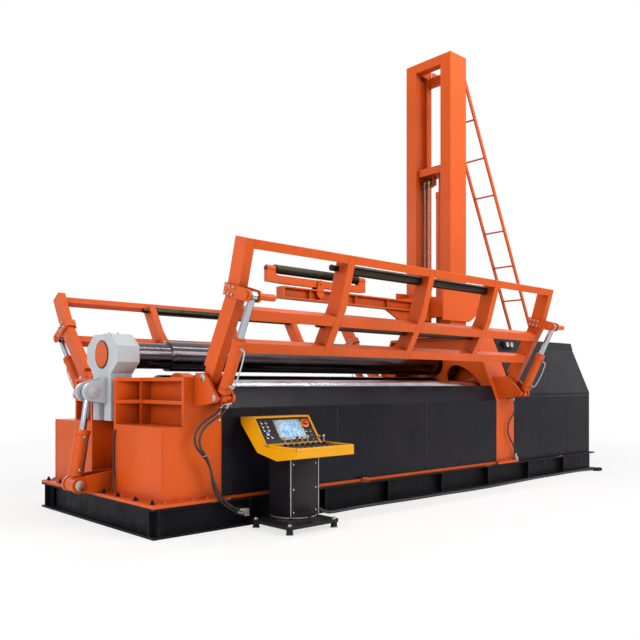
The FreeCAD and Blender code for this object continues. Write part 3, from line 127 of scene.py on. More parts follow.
def studio():
    """A white room for the lens and in reflections, dimmer for the light that it gives."""
    world = bpy.data.worlds.new("studio")
    bpy.context.scene.world = world
    world.use_nodes = True
    tree = world.node_tree
    tree.nodes.clear()
    out = tree.nodes.new("ShaderNodeOutputWorld")
    mix = tree.nodes.new("ShaderNodeMixShader")
    path = tree.nodes.new("ShaderNodeLightPath")
    seen = tree.nodes.new("ShaderNodeMath")
    seen.operation = "MAXIMUM"
    mirrored = tree.nodes.new("ShaderNodeMath")
    mirrored.operation = "MAXIMUM"
    room = tree.nodes.new("ShaderNodeBackground")
    white = tree.nodes.new("ShaderNodeBackground")
    room.inputs["Color"].default_value = (1.0, 1.0, 1.0, 1.0)
    room.inputs["Strength"].default_value = 0.42
    white.inputs["Color"].default_value = (1.0, 1.0, 1.0, 1.0)
    white.inputs["Strength"].default_value = 1.0
    tree.links.new(path.outputs["Is Camera Ray"], seen.inputs[0])
    tree.links.new(path.outputs["Is Transmission Ray"], mirrored.inputs[0])
    tree.links.new(path.outputs["Is Glossy Ray"], mirrored.inputs[1])
    tree.links.new(mirrored.outputs[0], seen.inputs[1])
    tree.links.new(seen.outputs[0], mix.inputs["Fac"])
    tree.links.new(room.outputs[0], mix.inputs[1])
    tree.links.new(white.outputs[0], mix.inputs[2])
    tree.links.new(mix.outputs[0], out.inputs["Surface"])
    area_light("key", (3.0, -10.0, 7.0), (0.0, 0.0, 1.5), (6.0, 4.0), 620.0)
    area_light("left_fill", (-9.5, -3.0, 4.0), (-2.5, 0.0, 1.0), (4.0, 3.0), 260.0)
    area_light("long_top", (0.5, -2.5, 9.5), (0.5, -0.5, 1.5), (11.0, 0.35), 330.0)
    area_light("rear", (-3.0, 9.0, 6.0), (0.0, 0.0, 1.5), (8.0, 3.0), 220.0)


def floor():
    """A white floor: its diffuse with the object's shadow, blended with the white that the lens sees."""
    half = 60.0
    u, v = np.meshgrid((-half, half), (-half, half), indexing="ij")
    points = np.stack([u, v, np.full_like(u, -0.001)], -1).reshape(-1, 3)
    mesh = bpy.data.meshes.new("floor")
    mesh.from_pydata(points.tolist(), [], [(0, 2, 3, 1)])
    obj = bpy.data.objects.new("floor", mesh)
    bpy.context.scene.collection.objects.link(obj)
    mat = bpy.data.materials.new("pale_floor")
    mat.use_nodes = True
    tree = mat.node_tree
    shader = tree.nodes["Principled BSDF"]
    shader.inputs["Base Color"].default_value = (0.90, 0.90, 0.90, 1.0)
    shader.inputs["Roughness"].default_value = 0.9
    shader.inputs["Specular IOR Level"].default_value = 0.1
    white = tree.nodes.new("ShaderNodeEmission")
    white.inputs["Color"].default_value = (1.0, 1.0, 1.0, 1.0)
    path = tree.nodes.new("ShaderNodeLightPath")
    share = tree.nodes.new("ShaderNodeMath")
    share.operation = "MULTIPLY"
    place = tree.nodes.new("ShaderNodeTexCoord")
    away = tree.nodes.new("ShaderNodeVectorMath")
    away.operation = "LENGTH"
    fade = tree.nodes.new("ShaderNodeMapRange")
    for socket, value in (("From Min", 5.0), ("From Max", 13.0), ("To Min", 0.70), ("To Max", 1.0)):
        fade.inputs[socket].default_value = value
    mix = tree.nodes.new("ShaderNodeMixShader")
    tree.links.new(place.outputs["Object"], away.inputs[0])
    tree.links.new(away.outputs["Value"], fade.inputs["Value"])
    tree.links.new(path.outputs["Is Camera Ray"], share.inputs[0])
    tree.links.new(fade.outputs["Result"], share.inputs[1])
    tree.links.new(share.outputs[0], mix.inputs["Fac"])
    tree.links.new(shader.outputs[0], mix.inputs[1])
    tree.links.new(white.outputs[0], mix.inputs[2])
    tree.links.new(mix.outputs[0], tree.nodes["Material Output"].inputs["Surface"])
    mesh.materials.append(mat)


# Surfaces worked out as arrays

class Surfaces:
    """Collects computed surfaces, and makes them one piece."""

    def __init__(self):
        self.points = []
        self.faces = []
        self.count = 0

    def grid(self, points, wrap=False):
        """Joins points[i, j] to its neighbours in i and in j, and the last j to the first."""
        rows, columns = points.shape[:2]
        i, j = np.meshgrid(np.arange(rows - 1), np.arange(columns if wrap else columns - 1),
                           indexing="ij")
        ahead = (j + 1) % columns
        quads = np.stack([i * columns + j, (i + 1) * columns + j,
                          (i + 1) * columns + ahead, i * columns + ahead], -1)
        self.faces.append(quads.reshape(-1, 4) + self.count)
        self.points.append(points.reshape(-1, 3))
        self.count += rows * columns
        return self

    def piece(self, name, mat, body):
        mesh = bpy.data.meshes.new(name)
        points = np.concatenate(self.points)
        quads = np.concatenate(self.faces)
        mesh.vertices.add(len(points))
        mesh.vertices.foreach_set("co", points.ravel())
        mesh.loops.add(quads.size)
        mesh.loops.foreach_set("vertex_index", quads.ravel().astype(np.int32))
        mesh.polygons.add(len(quads))
        mesh.polygons.foreach_set("loop_start", (np.arange(len(quads)) * 4).astype(np.int32))
        mesh.update(calc_edges=True)
        whole = bmesh.new()
        whole.from_mesh(mesh)
        bmesh.ops.remove_doubles(whole, verts=whole.verts, dist=1e-6)
        bmesh.ops.recalc_face_normals(whole, faces=whole.faces)
        whole.to_mesh(mesh)
        whole.free()
        mesh.shade_smooth()
        mesh.set_sharp_from_angle(angle=math.radians(32.0))
        mesh.materials.append(mat)
        obj = bpy.data.objects.new(name, mesh)
        bpy.context.scene.collection.objects.link(obj)
        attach(obj, body)
        return obj


def across(axis):
    """An axis made one long, and two directions square to it and to each other."""
    axis = np.array(axis, float) / np.linalg.norm(axis)
    up = (0.0, 0.0, 1.0) if abs(axis[2]) < 0.9 else (0.0, 1.0, 0.0)
    side = np.cross(axis, up)
    side /= np.linalg.norm(side)
    return axis, side, np.cross(axis, side)


def turned(at, axis, profile, sides=24):
    """Turned form: at + h axis + r (cos t side + sin t other), over profile points (h, r) and angle t."""
    axis, side, other = across(axis)
    h, r = np.array(profile, float).T
    t = np.arange(sides) * 2.0 * np.pi / sides
    ring = np.cos(t)[:, None] * side + np.sin(t)[:, None] * other
    return np.array(at) + h[:, None, None] * axis + r[:, None, None] * ring


def rounded_block(centre, half, radius, basis=None):
    """Block with rounded edges: the half sizes less the radius, signed by t and v, plus a ball's normal."""
    half = np.array(half, float)
    t = (np.arange(4)[:, None] * 90.0 + np.linspace(4.0, 86.0, 4)).ravel()
    t = np.radians(t)
    v = np.radians(np.concatenate([np.linspace(-90, -3, 4), np.linspace(3, 90, 4)]))
    ball = np.stack([np.cos(v)[:, None] * np.cos(t), np.cos(v)[:, None] * np.sin(t),
                     np.broadcast_to(np.sin(v)[:, None], (len(v), len(t)))], -1)
    sign = np.stack([np.broadcast_to(np.sign(np.cos(t)), ball.shape[:2]),
                     np.broadcast_to(np.sign(np.sin(t)), ball.shape[:2]),
                     np.broadcast_to(np.sign(v)[:, None], ball.shape[:2])], -1)
    body = sign * (half - radius) + ball * radius
    low, high = body[:1].copy(), body[-1:].copy()
    low[..., :2] = 0.0
    high[..., :2] = 0.0
    points = np.concatenate([low, body, high])
    if basis is not None:
        points = points @ np.array(basis, float)
    return points + np.array(centre, float)


def rod_along(path, radius, sides=8):
    """Tube: path point + r (cos t side + sin t other), with both directions square to the path there."""
    path = np.array(path, float)
    way = np.gradient(path, axis=0)
    way /= np.linalg.norm(way, axis=1, keepdims=True)
    span = path[-1] - path[0]
    spare = np.eye(3)[np.argmin(np.abs(span))]
    side = np.cross(way, spare)
    side /= np.linalg.norm(side, axis=1, keepdims=True)
    other = np.cross(way, side)
    r = np.broadcast_to(np.asarray(radius, float), (len(path),))[:, None, None]
    t = np.arange(sides) * 2.0 * np.pi / sides
    body = path[:, None] + r * (np.cos(t)[:, None] * side[:, None] + np.sin(t)[:, None] * other[:, None])
    ends = [np.repeat(path[k][None, None], sides, axis=1) for k in (0, -1)]
    return np.concatenate([ends[0], body, ends[1]])


def weld(start, end, size=0.007):
    """Weld bead: a tube whose radius swells and narrows once for each ripple of about 9 mm."""
    start, end = np.array(start, float), np.array(end, float)
    length = np.linalg.norm(end - start)
    count = max(6, int(length / 0.0045))
    s = np.linspace(0.0, 1.0, count)
    ripple = size * (1.0 + 0.16 * np.sin(s * length / 0.009 * 2.0 * np.pi) + 0.07 * np.sin(s * 23.0))
    return rod_along(start + s[:, None] * (end - start), ripple, 6)


def bolt(made, at, axis, size):
    """Hexagon bolt on a washer; size is the hexagon's half width."""
    made.grid(turned(at, axis, [(0.0, size * 1.3), (size * 0.2, size * 1.3), (size * 0.25, size * 1.2),
                                (size * 0.25, 0.0)], 16), wrap=True)
    made.grid(turned(at, axis, [(size * 0.2, size * 1.1), (size * 0.9, size * 1.1),
                                (size * 1.1, size * 0.9), (size * 1.1, 0.0)], 6), wrap=True)


def pan_screw(made, at, axis):
    """Pan head screw of 26 mm: a turned form that narrows to a small flat top."""
    made.grid(turned(at, axis, [(0.0, 0.013), (0.004, 0.012), (0.007, 0.008), (0.007, 0.0)], 12), wrap=True)


def pin_cap(made, at, axis, radius, rise, edge, sides):
    """Flat cap on a pin: a disc of the radius, with an edge of the given width sloping to its top."""
    made.grid(turned(at, axis, [(0.0, radius), (rise - 0.003, radius), (rise, radius - edge),
                                (rise, 0.0)], sides), wrap=True)


def button_collar(made, at, axis):
    made.grid(turned(at, axis, [(0.0, 0.016), (0.005, 0.016), (0.006, 0.013), (0.006, 0.0)], 16), wrap=True)


def arc_path(points, steps=10):
    """Smooth path: at each inner corner a quadratic curve from a third of one run to a third of the next."""
    points = np.array(points, float)
    path = [points[:1]]
    s = np.linspace(0.0, 1.0, steps)[:, None]
    for before, corner, after in zip(points, points[1:], points[2:]):
        a = corner + (before - corner) * 0.4
        b = corner + (after - corner) * 0.4
        path.append((1 - s) ** 2 * a + 2 * s * (1 - s) * corner + s ** 2 * b)
    path.append(points[-1:])
    return np.concatenate(path)


def table_place(side, x, d, s, upper=False):
    """A place on a table: X, D outwards and S up its posts, above the bend where upper is true."""
    d, s = np.asarray(d, float), np.asarray(s, float)
    if upper:
        b = math.radians(TABLE_BEND)
        out, up = d - BEND_D, s - BEND_S
        d, s = BEND_D + out * math.cos(b) - up * math.sin(b), BEND_S + out * math.sin(b) + up * math.cos(b)
    lean = math.radians(TABLE_LEAN[side])
    y = HINGE[0] + d * math.cos(lean) + s * math.sin(lean)
    z = HINGE[1] - d * math.sin(lean) + s * math.cos(lean)
    return np.array([x, SIDES[side] * y, z])


# Materials

class Look:
    """A material's node tree, with short calls for the nodes that the finishes share."""

    def __init__(self, name):
        self.mat = bpy.data.materials.new(name)
        self.mat.use_nodes = True
        self.tree = self.mat.node_tree
        self.shader = self.tree.nodes["Principled BSDF"]
        self.coords = self.node("ShaderNodeTexCoord").outputs["Object"]

    def node(self, kind, **values):
        made = self.tree.nodes.new(kind)
        for key, value in values.items():
            setattr(made, key, value)
        return made

    def link(self, source, target):
        self.tree.links.new(source, target)

    def stretched(self, scale):
        place = self.node("ShaderNodeMapping")
        place.inputs["Scale"].default_value = scale
        self.link(self.coords, place.inputs["Vector"])
        return place.outputs["Vector"]

    def noise(self, scale, detail=3.0, rough=0.55, stretch=None):
        made = self.node("ShaderNodeTexNoise")
        made.inputs["Scale"].default_value = scale
        made.inputs["Detail"].default_value = detail
        made.inputs["Roughness"].default_value = rough
        self.link(self.stretched(stretch) if stretch else self.coords, made.inputs["Vector"])
        return made.outputs["Fac"]

    def ramp(self, source, *stops):
        """Maps a value through (place, colour) stops."""
        made = self.node("ShaderNodeValToRGB")
        band = made.color_ramp
        while len(band.elements) < len(stops):
            band.elements.new(1.0)
        for element, (place, color) in zip(band.elements, stops):
            element.position = place
            element.color = (*color, 1.0) if isinstance(color, tuple) else (color, color, color, 1.0)
        self.link(source, made.inputs["Fac"])
        return made.outputs["Color"]

    def blend(self, factor, first, second, mode="MIX"):
        made = self.node("ShaderNodeMix", data_type="RGBA", blend_type=mode)
        for socket, value in ((made.inputs[0], factor), (made.inputs[6], first), (made.inputs[7], second)):
            if isinstance(value, tuple):
                socket.default_value = (*value, 1.0)
            elif isinstance(value, float):
                socket.default_value = value
            else:
                self.link(value, socket)
        return made.outputs[2]

    def times(self, first, second):
        made = self.node("ShaderNodeMath", operation="MULTIPLY")
        for socket, value in zip(made.inputs, (first, second)):
            if isinstance(value, float):
                socket.default_value = value
            else:
                self.link(value, socket)
        return made.outputs[0]

    def edges(self, width):
        """Soft edge normals, and a mask that is bright where they differ from the flat face's."""
        bevel = self.node("ShaderNodeBevel", samples=4)
        bevel.inputs["Radius"].default_value = width
        face = self.node("ShaderNodeNewGeometry")
        same = self.node("ShaderNodeVectorMath", operation="DOT_PRODUCT")
        self.link(bevel.outputs[0], same.inputs[0])
        self.link(face.outputs["Normal"], same.inputs[1])
        return bevel.outputs[0], self.ramp(same.outputs["Value"], (0.72, 1.0), (0.97, 0.0))

    def corners(self, distance):
        """Ambient occlusion, used as painted shade: dark in corners and seams, bright in the open."""
        made = self.node("ShaderNodeAmbientOcclusion", samples=6)
        made.inputs["Distance"].default_value = distance
        return made.outputs["AO"]

    def bump(self, height, strength, distance, normal=None):
        made = self.node("ShaderNodeBump")
        made.inputs["Strength"].default_value = strength
        made.inputs["Distance"].default_value = distance
        self.link(height, made.inputs["Height"])
        if normal:
            self.link(normal, made.inputs["Normal"])
        self.link(made.outputs[0], self.shader.inputs["Normal"])

    def color(self, source):
        self.link(source, self.shader.inputs["Base Color"])

    def roughness(self, source, low, high):
        self.link(self.ramp(source, (0.3, low), (0.7, high)), self.shader.inputs["Roughness"])

    def set(self, **values):
        for key, value in values.items():
            self.shader.inputs[key.replace("_", " ")].default_value = value
        return self.mat


def shade(color, factor):
    return tuple(min(1.0, c * factor) for c in color)


def sprayed(name, color, primer, gloss=0.28, chips=1.0):
    """Sprayed gloss paint: cloudy tone, fine orange peel, chipped edges and painted shade in the corners."""
    look = Look(name)
    tone = look.ramp(look.noise(1.3, 4.0), (0.30, shade(color, 0.90)), (0.70, shade(color, 1.05)))
    faint = look.noise(24.0, 3.0)
    tone = look.blend(look.ramp(faint, (0.35, 0.0), (0.75, 0.16)), tone, shade(color, 0.80))
    soft, edge = look.edges(0.005)
    patchy = look.ramp(look.noise(16.0, 5.0, 0.7), (0.50, 0.0), (0.60, chips))
    worn = look.blend(look.times(edge, patchy), tone, primer)
    # Painted shade: ambient occlusion darkens the colour towards a brownish grey in corners and seams
    painted_corner_shade = look.ramp(look.corners(0.30), (0.20, (0.42, 0.34, 0.30)), (0.90, (1.0, 1.0, 1.0)))
    look.color(look.blend(0.85, worn, painted_corner_shade, "MULTIPLY"))
    look.roughness(look.noise(7.0, 5.0), gloss, gloss + 0.16)
    look.bump(look.noise(420.0, 2.0), 0.12, 0.0006, soft)
    return look.set(Specular_IOR_Level=0.22, Coat_Weight=0.05, Coat_Roughness=0.08)


def sheet_panel():
    """Dark satin sheet: faint clouds with a plum tint that is a painted reflection, light streaks running
    down that are painted reflections, and lighter patches along folds that are painted highlights.
    """
    look = Look("anthracite_sheet")
    # Painted reflection: the plum tint of the clouds stands for the surroundings that the dark sheet
    # reflects
    tone = look.ramp(look.noise(0.9, 4.0), (0.30, (0.004, 0.005, 0.010)), (0.72, (0.010, 0.008, 0.012)))
    # Painted reflections: light streaks that run down the sheet
    streaks = look.ramp(look.noise(3.0, 6.0, 0.65, (5.0, 5.0, 0.7)), (0.52, 0.0), (0.80, 0.30))
    tone = look.blend(streaks, tone, (0.022, 0.021, 0.028))
    soft, edge = look.edges(0.006)
    patchy = look.ramp(look.noise(20.0, 5.0, 0.7), (0.46, 0.0), (0.62, 0.8))
    # Painted highlights: lighter patches along the edges and folds
    look.color(look.blend(look.times(edge, patchy), tone, (0.16, 0.15, 0.15)))
    look.roughness(look.noise(2.4, 6.0), 0.22, 0.42)
    look.bump(look.noise(6.0, 3.0), 0.10, 0.004, soft)
    return look.set(Specular_IOR_Level=0.15)


def base_paint():
    """Thick black paint on rolled beams: dull, with scale, rubbed edges and a dusty mottle."""
    look = Look("base_black_paint")
    tone = look.ramp(look.noise(2.2, 5.0), (0.35, (0.003, 0.0033, 0.005)), (0.70, (0.008, 0.0083, 0.011)))
    soft, edge = look.edges(0.006)
    patchy = look.ramp(look.noise(18.0, 5.0, 0.7), (0.46, 0.0), (0.60, 0.9))
    look.color(look.blend(look.times(edge, patchy), tone, (0.12, 0.115, 0.11)))
    look.roughness(look.noise(9.0, 5.0), 0.36, 0.60)
    look.bump(look.noise(90.0, 4.0), 0.22, 0.0015, soft)
    return look.set(Specular_IOR_Level=0.13)


def turned_steel(name, color, rough, rings=240.0):
    """Steel turned in a lathe: fine rings along X, oily clouds and a few bright lines."""
    look = Look(name)
    ring = look.noise(1.0, 3.0, 0.6, (rings, 1.5, 1.5))
    cloud = look.noise(2.4, 5.0)
    tone = look.ramp(cloud, (0.3, shade(color, 0.78)), (0.7, shade(color, 1.28)))
    look.color(look.blend(look.ramp(ring, (0.50, 0.0), (0.85, 0.45)), tone, shade(color, 2.1)))
    look.roughness(cloud, rough, rough + 0.13)
    look.bump(ring, 0.06, 0.0008)
    return look.set(Metallic=1.0)


def chrome():
    """Hard chrome on the rods: bright, with fine lines along Z and an oil film."""
    look = Look("rod_chrome")
    lines = look.noise(1.0, 3.0, 0.6, (260.0, 260.0, 6.0))
    look.color(look.ramp(lines, (0.35, (0.36, 0.40, 0.46)), (0.70, (0.50, 0.54, 0.60))))
    look.roughness(look.noise(14.0, 4.0), 0.09, 0.20)
    return look.set(Metallic=1.0)


def cast_grey():
    """Light grey paint on the cast yoke: a grainy skin, painted shade in the corners, rubbed edges."""
    look = Look("yoke_grey_paint")
    tone = look.ramp(look.noise(3.0, 5.0), (0.30, shade(YOKE_GREY, 0.88)), (0.72, shade(YOKE_GREY, 1.07)))
    soft, edge = look.edges(0.007)
    patchy = look.ramp(look.noise(22.0, 5.0, 0.7), (0.48, 0.0), (0.60, 0.8))
    tone = look.blend(look.times(edge, patchy), tone, (0.30, 0.29, 0.28))
    # Painted shade: ambient occlusion darkens the grey in corners and seams
    painted_grey_shade = look.ramp(look.corners(0.09), (0.30, (0.30, 0.27, 0.24)), (0.85, (1.0, 1.0, 1.0)))
    look.color(look.blend(0.7, tone, painted_grey_shade, "MULTIPLY"))
    look.roughness(look.noise(12.0, 4.0), 0.34, 0.50)
    look.bump(look.noise(160.0, 3.0), 0.20, 0.0012, soft)
    return look.set(Coat_Weight=0.1)


def rubber():
    """Black hose rubber with a fine wrapped grain and dusty patches."""
    look = Look("hose_rubber")
    tone = look.ramp(look.noise(30.0, 4.0), (0.35, (0.012, 0.012, 0.013)), (0.75, (0.040, 0.038, 0.036)))
    look.color(tone)
    look.roughness(look.noise(50.0, 3.0), 0.42, 0.62)
    look.bump(look.noise(700.0, 2.0), 0.35, 0.0005)
    return look.set(Specular_IOR_Level=0.5)


def plated():
    """Zinc plate on bolts and fittings: pale, mottled, a little yellow."""
    look = Look("zinc_plate")
    look.color(look.ramp(look.noise(90.0, 4.0), (0.35, (0.42, 0.41, 0.38)), (0.70, (0.66, 0.65, 0.62))))
    look.roughness(look.noise(60.0, 3.0), 0.24, 0.42)
    return look.set(Metallic=1.0)


def bronze():
    """Bronze of the sheaves: oil-darkened, mottled with brighter patches."""
    look = Look("sheave_bronze")
    look.color(look.ramp(look.noise(26.0, 5.0), (0.35, (0.20, 0.10, 0.030)), (0.65, (0.62, 0.38, 0.12))))
    look.roughness(look.noise(30.0, 3.0), 0.25, 0.45)
    return look.set(Metallic=1.0)


def oiled(name, color, metallic, rough):
    """Plain dark part with an uneven oil film."""
    look = Look(name)
    look.color(look.ramp(look.noise(34.0, 4.0), (0.35, shade(color, 0.7)), (0.70, shade(color, 1.5))))
    look.roughness(look.noise(20.0, 4.0), rough, rough + 0.15)
    look.bump(look.noise(200.0, 3.0), 0.1, 0.0006)
    return look.set(Metallic=metallic)


def lit(name, color, strength=0.0, rough=0.25):
    """Moulded plastic of a button or lamp, faintly mottled, with its own glow where strength is given."""
    look = Look(name)
    look.color(look.ramp(look.noise(120.0, 3.0), (0.35, shade(color, 0.85)), (0.70, shade(color, 1.1))))
    look.roughness(look.noise(80.0, 3.0), rough, rough + 0.15)
    return look.set(Emission_Color=(*color, 1.0), Emission_Strength=strength)


def display():
    """A generic screen: a mottled pale blue field that glows faintly, under glass."""
    look = Look("display_screen")
    spots = look.noise(26.0, 2.0)
    look.color(look.ramp(spots, (0.40, (0.17, 0.36, 0.60)), (0.52, (0.30, 0.55, 0.78)),
                         (0.62, (0.42, 0.66, 0.86))))
    look.link(look.ramp(spots, (0.40, (0.16, 0.34, 0.58)), (0.60, (0.32, 0.56, 0.80))),
              look.shader.inputs["Emission Color"])
    return look.set(Roughness=0.12, Emission_Strength=0.35, Coat_Weight=0.6)


MATS = {
    "orange_paint": sprayed("orange_paint", ORANGE, PRIMER),
    "cap_orange": sprayed("cap_orange_paint", shade(ORANGE, 0.95), PRIMER, 0.34),
    "console_yellow": sprayed("desk_yellow_paint", DESK_YELLOW, DESK_PRIMER, 0.32, 0.5),
    "console_dark": sprayed("console_dark_paint", (0.013, 0.012, 0.015), (0.07, 0.07, 0.07), 0.30, 0.7),
    "base_black": base_paint(),
    "anthracite_panel": sheet_panel(),
    "housing_grey": oiled("dark_casting", (0.06, 0.06, 0.065), 0.4, 0.42),
    # roll_steel takes the painted dark reflection colour above
    "roll_steel": turned_steel("roll_steel", ROLL_DARK_REFLECTION, 0.13),
    "roller_dark": turned_steel("roller_dark", ROLLER_DARK, 0.26, 90.0),
    "yoke_grey": cast_grey(),
    "rod_chrome": chrome(),
    "sheave_bronze": bronze(),
    "chain_steel": oiled("chain_steel", (0.30, 0.29, 0.28), 1.0, 0.28),
    "hose_rubber": rubber(),
    "fitting_steel": plated(),
}
POLISHED_ROLL = turned_steel("polished_roll", (0.42, 0.42, 0.44), 0.16)
BLACK_PLASTIC = oiled("black_plastic", (0.012, 0.012, 0.013), 0.0, 0.30)
GAUGE_FACE = lit("gauge_face", (0.62, 0.62, 0.60))
RED_PLASTIC = lit("red_plastic", (0.60, 0.012, 0.008))
AMBER_PLASTIC = lit("amber_plastic", (0.90, 0.30, 0.03))
BLUE_LAMP = lit("blue_lamp", (0.02, 0.10, 0.80), 0.8)
SCREEN = display()
BEZEL = oiled("bezel_alloy", (0.36, 0.38, 0.34), 0.7, 0.32)


def dress_nodes():
    for sub in frame["record"]["subparts"]:
        obj = NODES[sub["node"]]
        obj.data.materials.clear()
        obj.data.materials.append(MATS[sub["material_slot"]])
    for side in SIDES:
        NODES[side + "_side_roll"].data.materials[0] = POLISHED_ROLL


# Hoses and cable

def cord(name, route, diameter, node):
    """One free cord: a smooth line of order 3 with the route's points as its control points."""
    curve = bpy.data.curves.new(name, "CURVE")
    curve.dimensions = "3D"
    curve.bevel_depth = diameter / 2
    curve.bevel_resolution = 4
    curve.use_fill_caps = True
    line = curve.splines.new("NURBS")
    line.points.add(len(route) - 1)
    for point, place in zip(line.points, route):
        point.co = (*place, 1.0)
    line.order_u = 3
    line.use_endpoint_u = True
    line.resolution_u = 10
    obj = bpy.data.objects.new(name, curve)
    bpy.context.scene.collection.objects.link(obj)
    obj.data.materials.append(MATS["hose_rubber"])
    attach(obj, "machine")
    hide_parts(node)
    bare = curve.copy()
    bare.bevel_depth = 0.0
    probe = bpy.data.objects.new(name + "_line", bare)
    mesh = bpy.data.meshes.new_from_object(probe)
    line_points = np.empty(len(mesh.vertices) * 3)
    mesh.vertices.foreach_get("co", line_points)
    line_points = line_points.reshape(-1, 3)
    bpy.data.meshes.remove(mesh)
    bpy.data.objects.remove(probe)
    return line_points


def hose_end(made, line, at_start):
    """Crimped ferrule and hexagon nut along the first or last stretch of a hose."""
    path = line if at_start else line[::-1]
    way = path[3] - path[0]
    made.grid(turned(path[0], way, [(0.0, 0.0), (0.0, 0.021), (0.018, 0.021), (0.018, 0.0)], 6), wrap=True)
    made.grid(turned(path[0], way, [(0.018, 0.0), (0.018, 0.0165), (0.024, 0.0175), (0.030, 0.0165),
                                    (0.036, 0.0175), (0.042, 0.0165), (0.048, 0.0175), (0.056, 0.0160),
                                    (0.060, 0.0130), (0.060, 0.0)], 16), wrap=True)


def hoses():
    lines = [
        cord("outer_drop_line", OUTER_DROP_HOSE, HOSE_D, "outer_drop_hose"),
        cord("inner_drop_line", INNER_DROP_HOSE, HOSE_D, "inner_drop_hose"),
        cord("drive_line", DRIVE_HOSE, HOSE_D, "drive_hose"),
    ]
    cord("floor_cable_line", FLOOR_CABLE, CABLE_D, "floor_cable")
    made = Surfaces()
    for line in lines:
        hose_end(made, line, True)
        hose_end(made, line, False)
    made.piece("hose_ferrules", MATS["fitting_steel"], "machine")
    outer = lines[0]
    near = outer[np.argmin(np.abs(outer[:, 2] - 0.784) + (outer[:, 2] > 1.0))]
    ties = Surfaces()
    t = np.linspace(0.0, 2.0 * np.pi, 25)
    loop = np.stack([near[0] - 0.004 + 0.020 * np.cos(t), near[1] + 0.018 + 0.034 * np.sin(t),
                     near[2] + 0.006 * np.cos(t)], -1)
    ties.grid(rod_along(loop, 0.0035, 6), wrap=True)
    ties.piece("hose_tie", MATS["fitting_steel"], "machine")


# Fasteners and welds on the fixed machine

def frame_bolts():
    made = Surfaces()
    for x in (-3.290, -2.480):
        for y in np.linspace(-1.18, 1.18, 9):
            if x > -3.0 or abs(y) > 0.30:
                bolt(made, (x if x < -3.0 else -2.485, y, SOLE_TOP), (0, 0, 1), 0.017)
    for x in np.linspace(-3.22, -2.56, 5):
        for side in (-1.0, 1.0):
            bolt(made, (x, side * 1.298, SOLE_TOP), (0, 0, 1), 0.017)
    for x in (2.560, 2.700, 2.840, 2.970):
        for side in (-1.0, 1.0):
            bolt(made, (x, side * 1.298, SOLE_TOP), (0, 0, 1), 0.017)
    for x in (2.430, 2.480):
        for y in (-0.50, -0.30, 0.30, 0.50):
            bolt(made, (x, y, 2.275), (0, 0, 1), 0.014)
    made.piece("sole_bolts", MATS["orange_paint"], "machine")
    dark = Surfaces()
    for z in np.linspace(1.12, 1.52, 8):
        for side in (-1.0, 1.0):
            bolt(dark, (-2.545, side * 1.250, z), (0, side, 0), 0.011)
    for a in np.radians((50.0, 70.0, 90.0, 110.0, 130.0)):
        bolt(dark, (2.778, 0.225 * math.cos(a), 1.825 + 0.225 * math.sin(a)), (-1, 0, 0), 0.012)
    dark.piece("flange_bolts", MATS["fitting_steel"], "machine")


def frame_welds():
    """Beads where the plates of the end frames and their feet meet."""
    made = Surfaces()
    for side in (-1.0, 1.0):
        y = side * 1.250
        made.grid(weld((-3.225, y, SOLE_TOP), (-2.515, y, SOLE_TOP), 0.008), wrap=True)
        made.grid(weld((2.515, y, SOLE_TOP), (3.005, y, SOLE_TOP), 0.008), wrap=True)
        made.grid(weld((-3.225, y, SOLE_TOP), (-3.225, side * 0.26, SOLE_TOP), 0.008), wrap=True)
        made.grid(weld((-3.225, y, 0.34), (-3.225, y, 1.065), 0.005), wrap=True)
        made.grid(weld((-2.850, side * 0.260, 1.31), (-2.850, side * 1.210, 1.33), 0.006), wrap=True)
        made.grid(weld((-2.850, side * 0.260, 1.075), (-2.850, side * 1.210, 1.075), 0.006), wrap=True)
        made.grid(weld((-2.850, side * 0.400, 1.08), (-2.850, side * 0.400, 1.52), 0.006), wrap=True)
        made.grid(weld((-2.850, side * 1.210, 1.08), (-2.850, side * 1.210, 1.52), 0.006), wrap=True)
        for x in (-2.640, -2.610, -2.840, -2.810, 2.610, 2.640, 2.810, 2.840):
            made.grid(weld((x, y, 1.275), (x, y, 1.560), 0.005), wrap=True)
        made.grid(weld((2.445, side * 0.454, 2.275), (2.860, side * 0.454, 2.275), 0.007), wrap=True)
        made.grid(weld((2.445, side * 0.254, 2.275), (2.445, side * 0.454, 2.275), 0.007), wrap=True)
        made.grid(weld((2.860, side * 0.254, 2.275), (2.860, side * 0.454, 2.275), 0.007), wrap=True)
        made.grid(weld((2.445, side * 0.254, 6.645), (2.445, side * 0.254, 6.785), 0.006), wrap=True)
    made.piece("frame_weld_beads", MATS["orange_paint"], "machine")


# Console

DESK_MID_X = -1.915
DESK_FOLD = (-1.720, 0.858)
DISPLAY_WAY = np.array([0.0, 0.5927, 0.8054])
DISPLAY_OUT = np.array([0.0, -0.8054, 0.5927])


def on_display(u, v, h=0.0):
    """A place on the desk's sloping face: u to the right, v up from the fold, h out of it."""
    return np.array([DESK_MID_X + u, *DESK_FOLD]) + v * DISPLAY_WAY + h * DISPLAY_OUT


def on_tray(u, v, h=0.0):
    """A place on the desk's tray: u to the right, v towards the front, h up."""
    return np.array([DESK_MID_X + u, DESK_FOLD[0] - v, DESK_FOLD[1] - 0.0206 * v + h])


DISPLAY_BASIS = [(1.0, 0.0, 0.0), tuple(DISPLAY_WAY), tuple(DISPLAY_OUT)]
TRAY_BASIS = [(1.0, 0.0, 0.0), (0.0, 0.9998, 0.0206), (0.0, -0.0206, 0.9998)]


def framed(made, place, u, v, width, rise, basis, h=0.0):
    """A rectangular frame of four rounded bars round the middle (u, v) sizes given as half widths."""
    for side in (-1.0, 1.0):
        made.grid(rounded_block(place(u[0], v[0] + side * v[1], h), (u[1] + width, width, rise),
                                min(width, rise) * 0.6, basis), wrap=True)
        made.grid(rounded_block(place(u[0] + side * u[1], v[0], h), (width, v[1] + width, rise),
                                min(width, rise) * 0.6, basis), wrap=True)


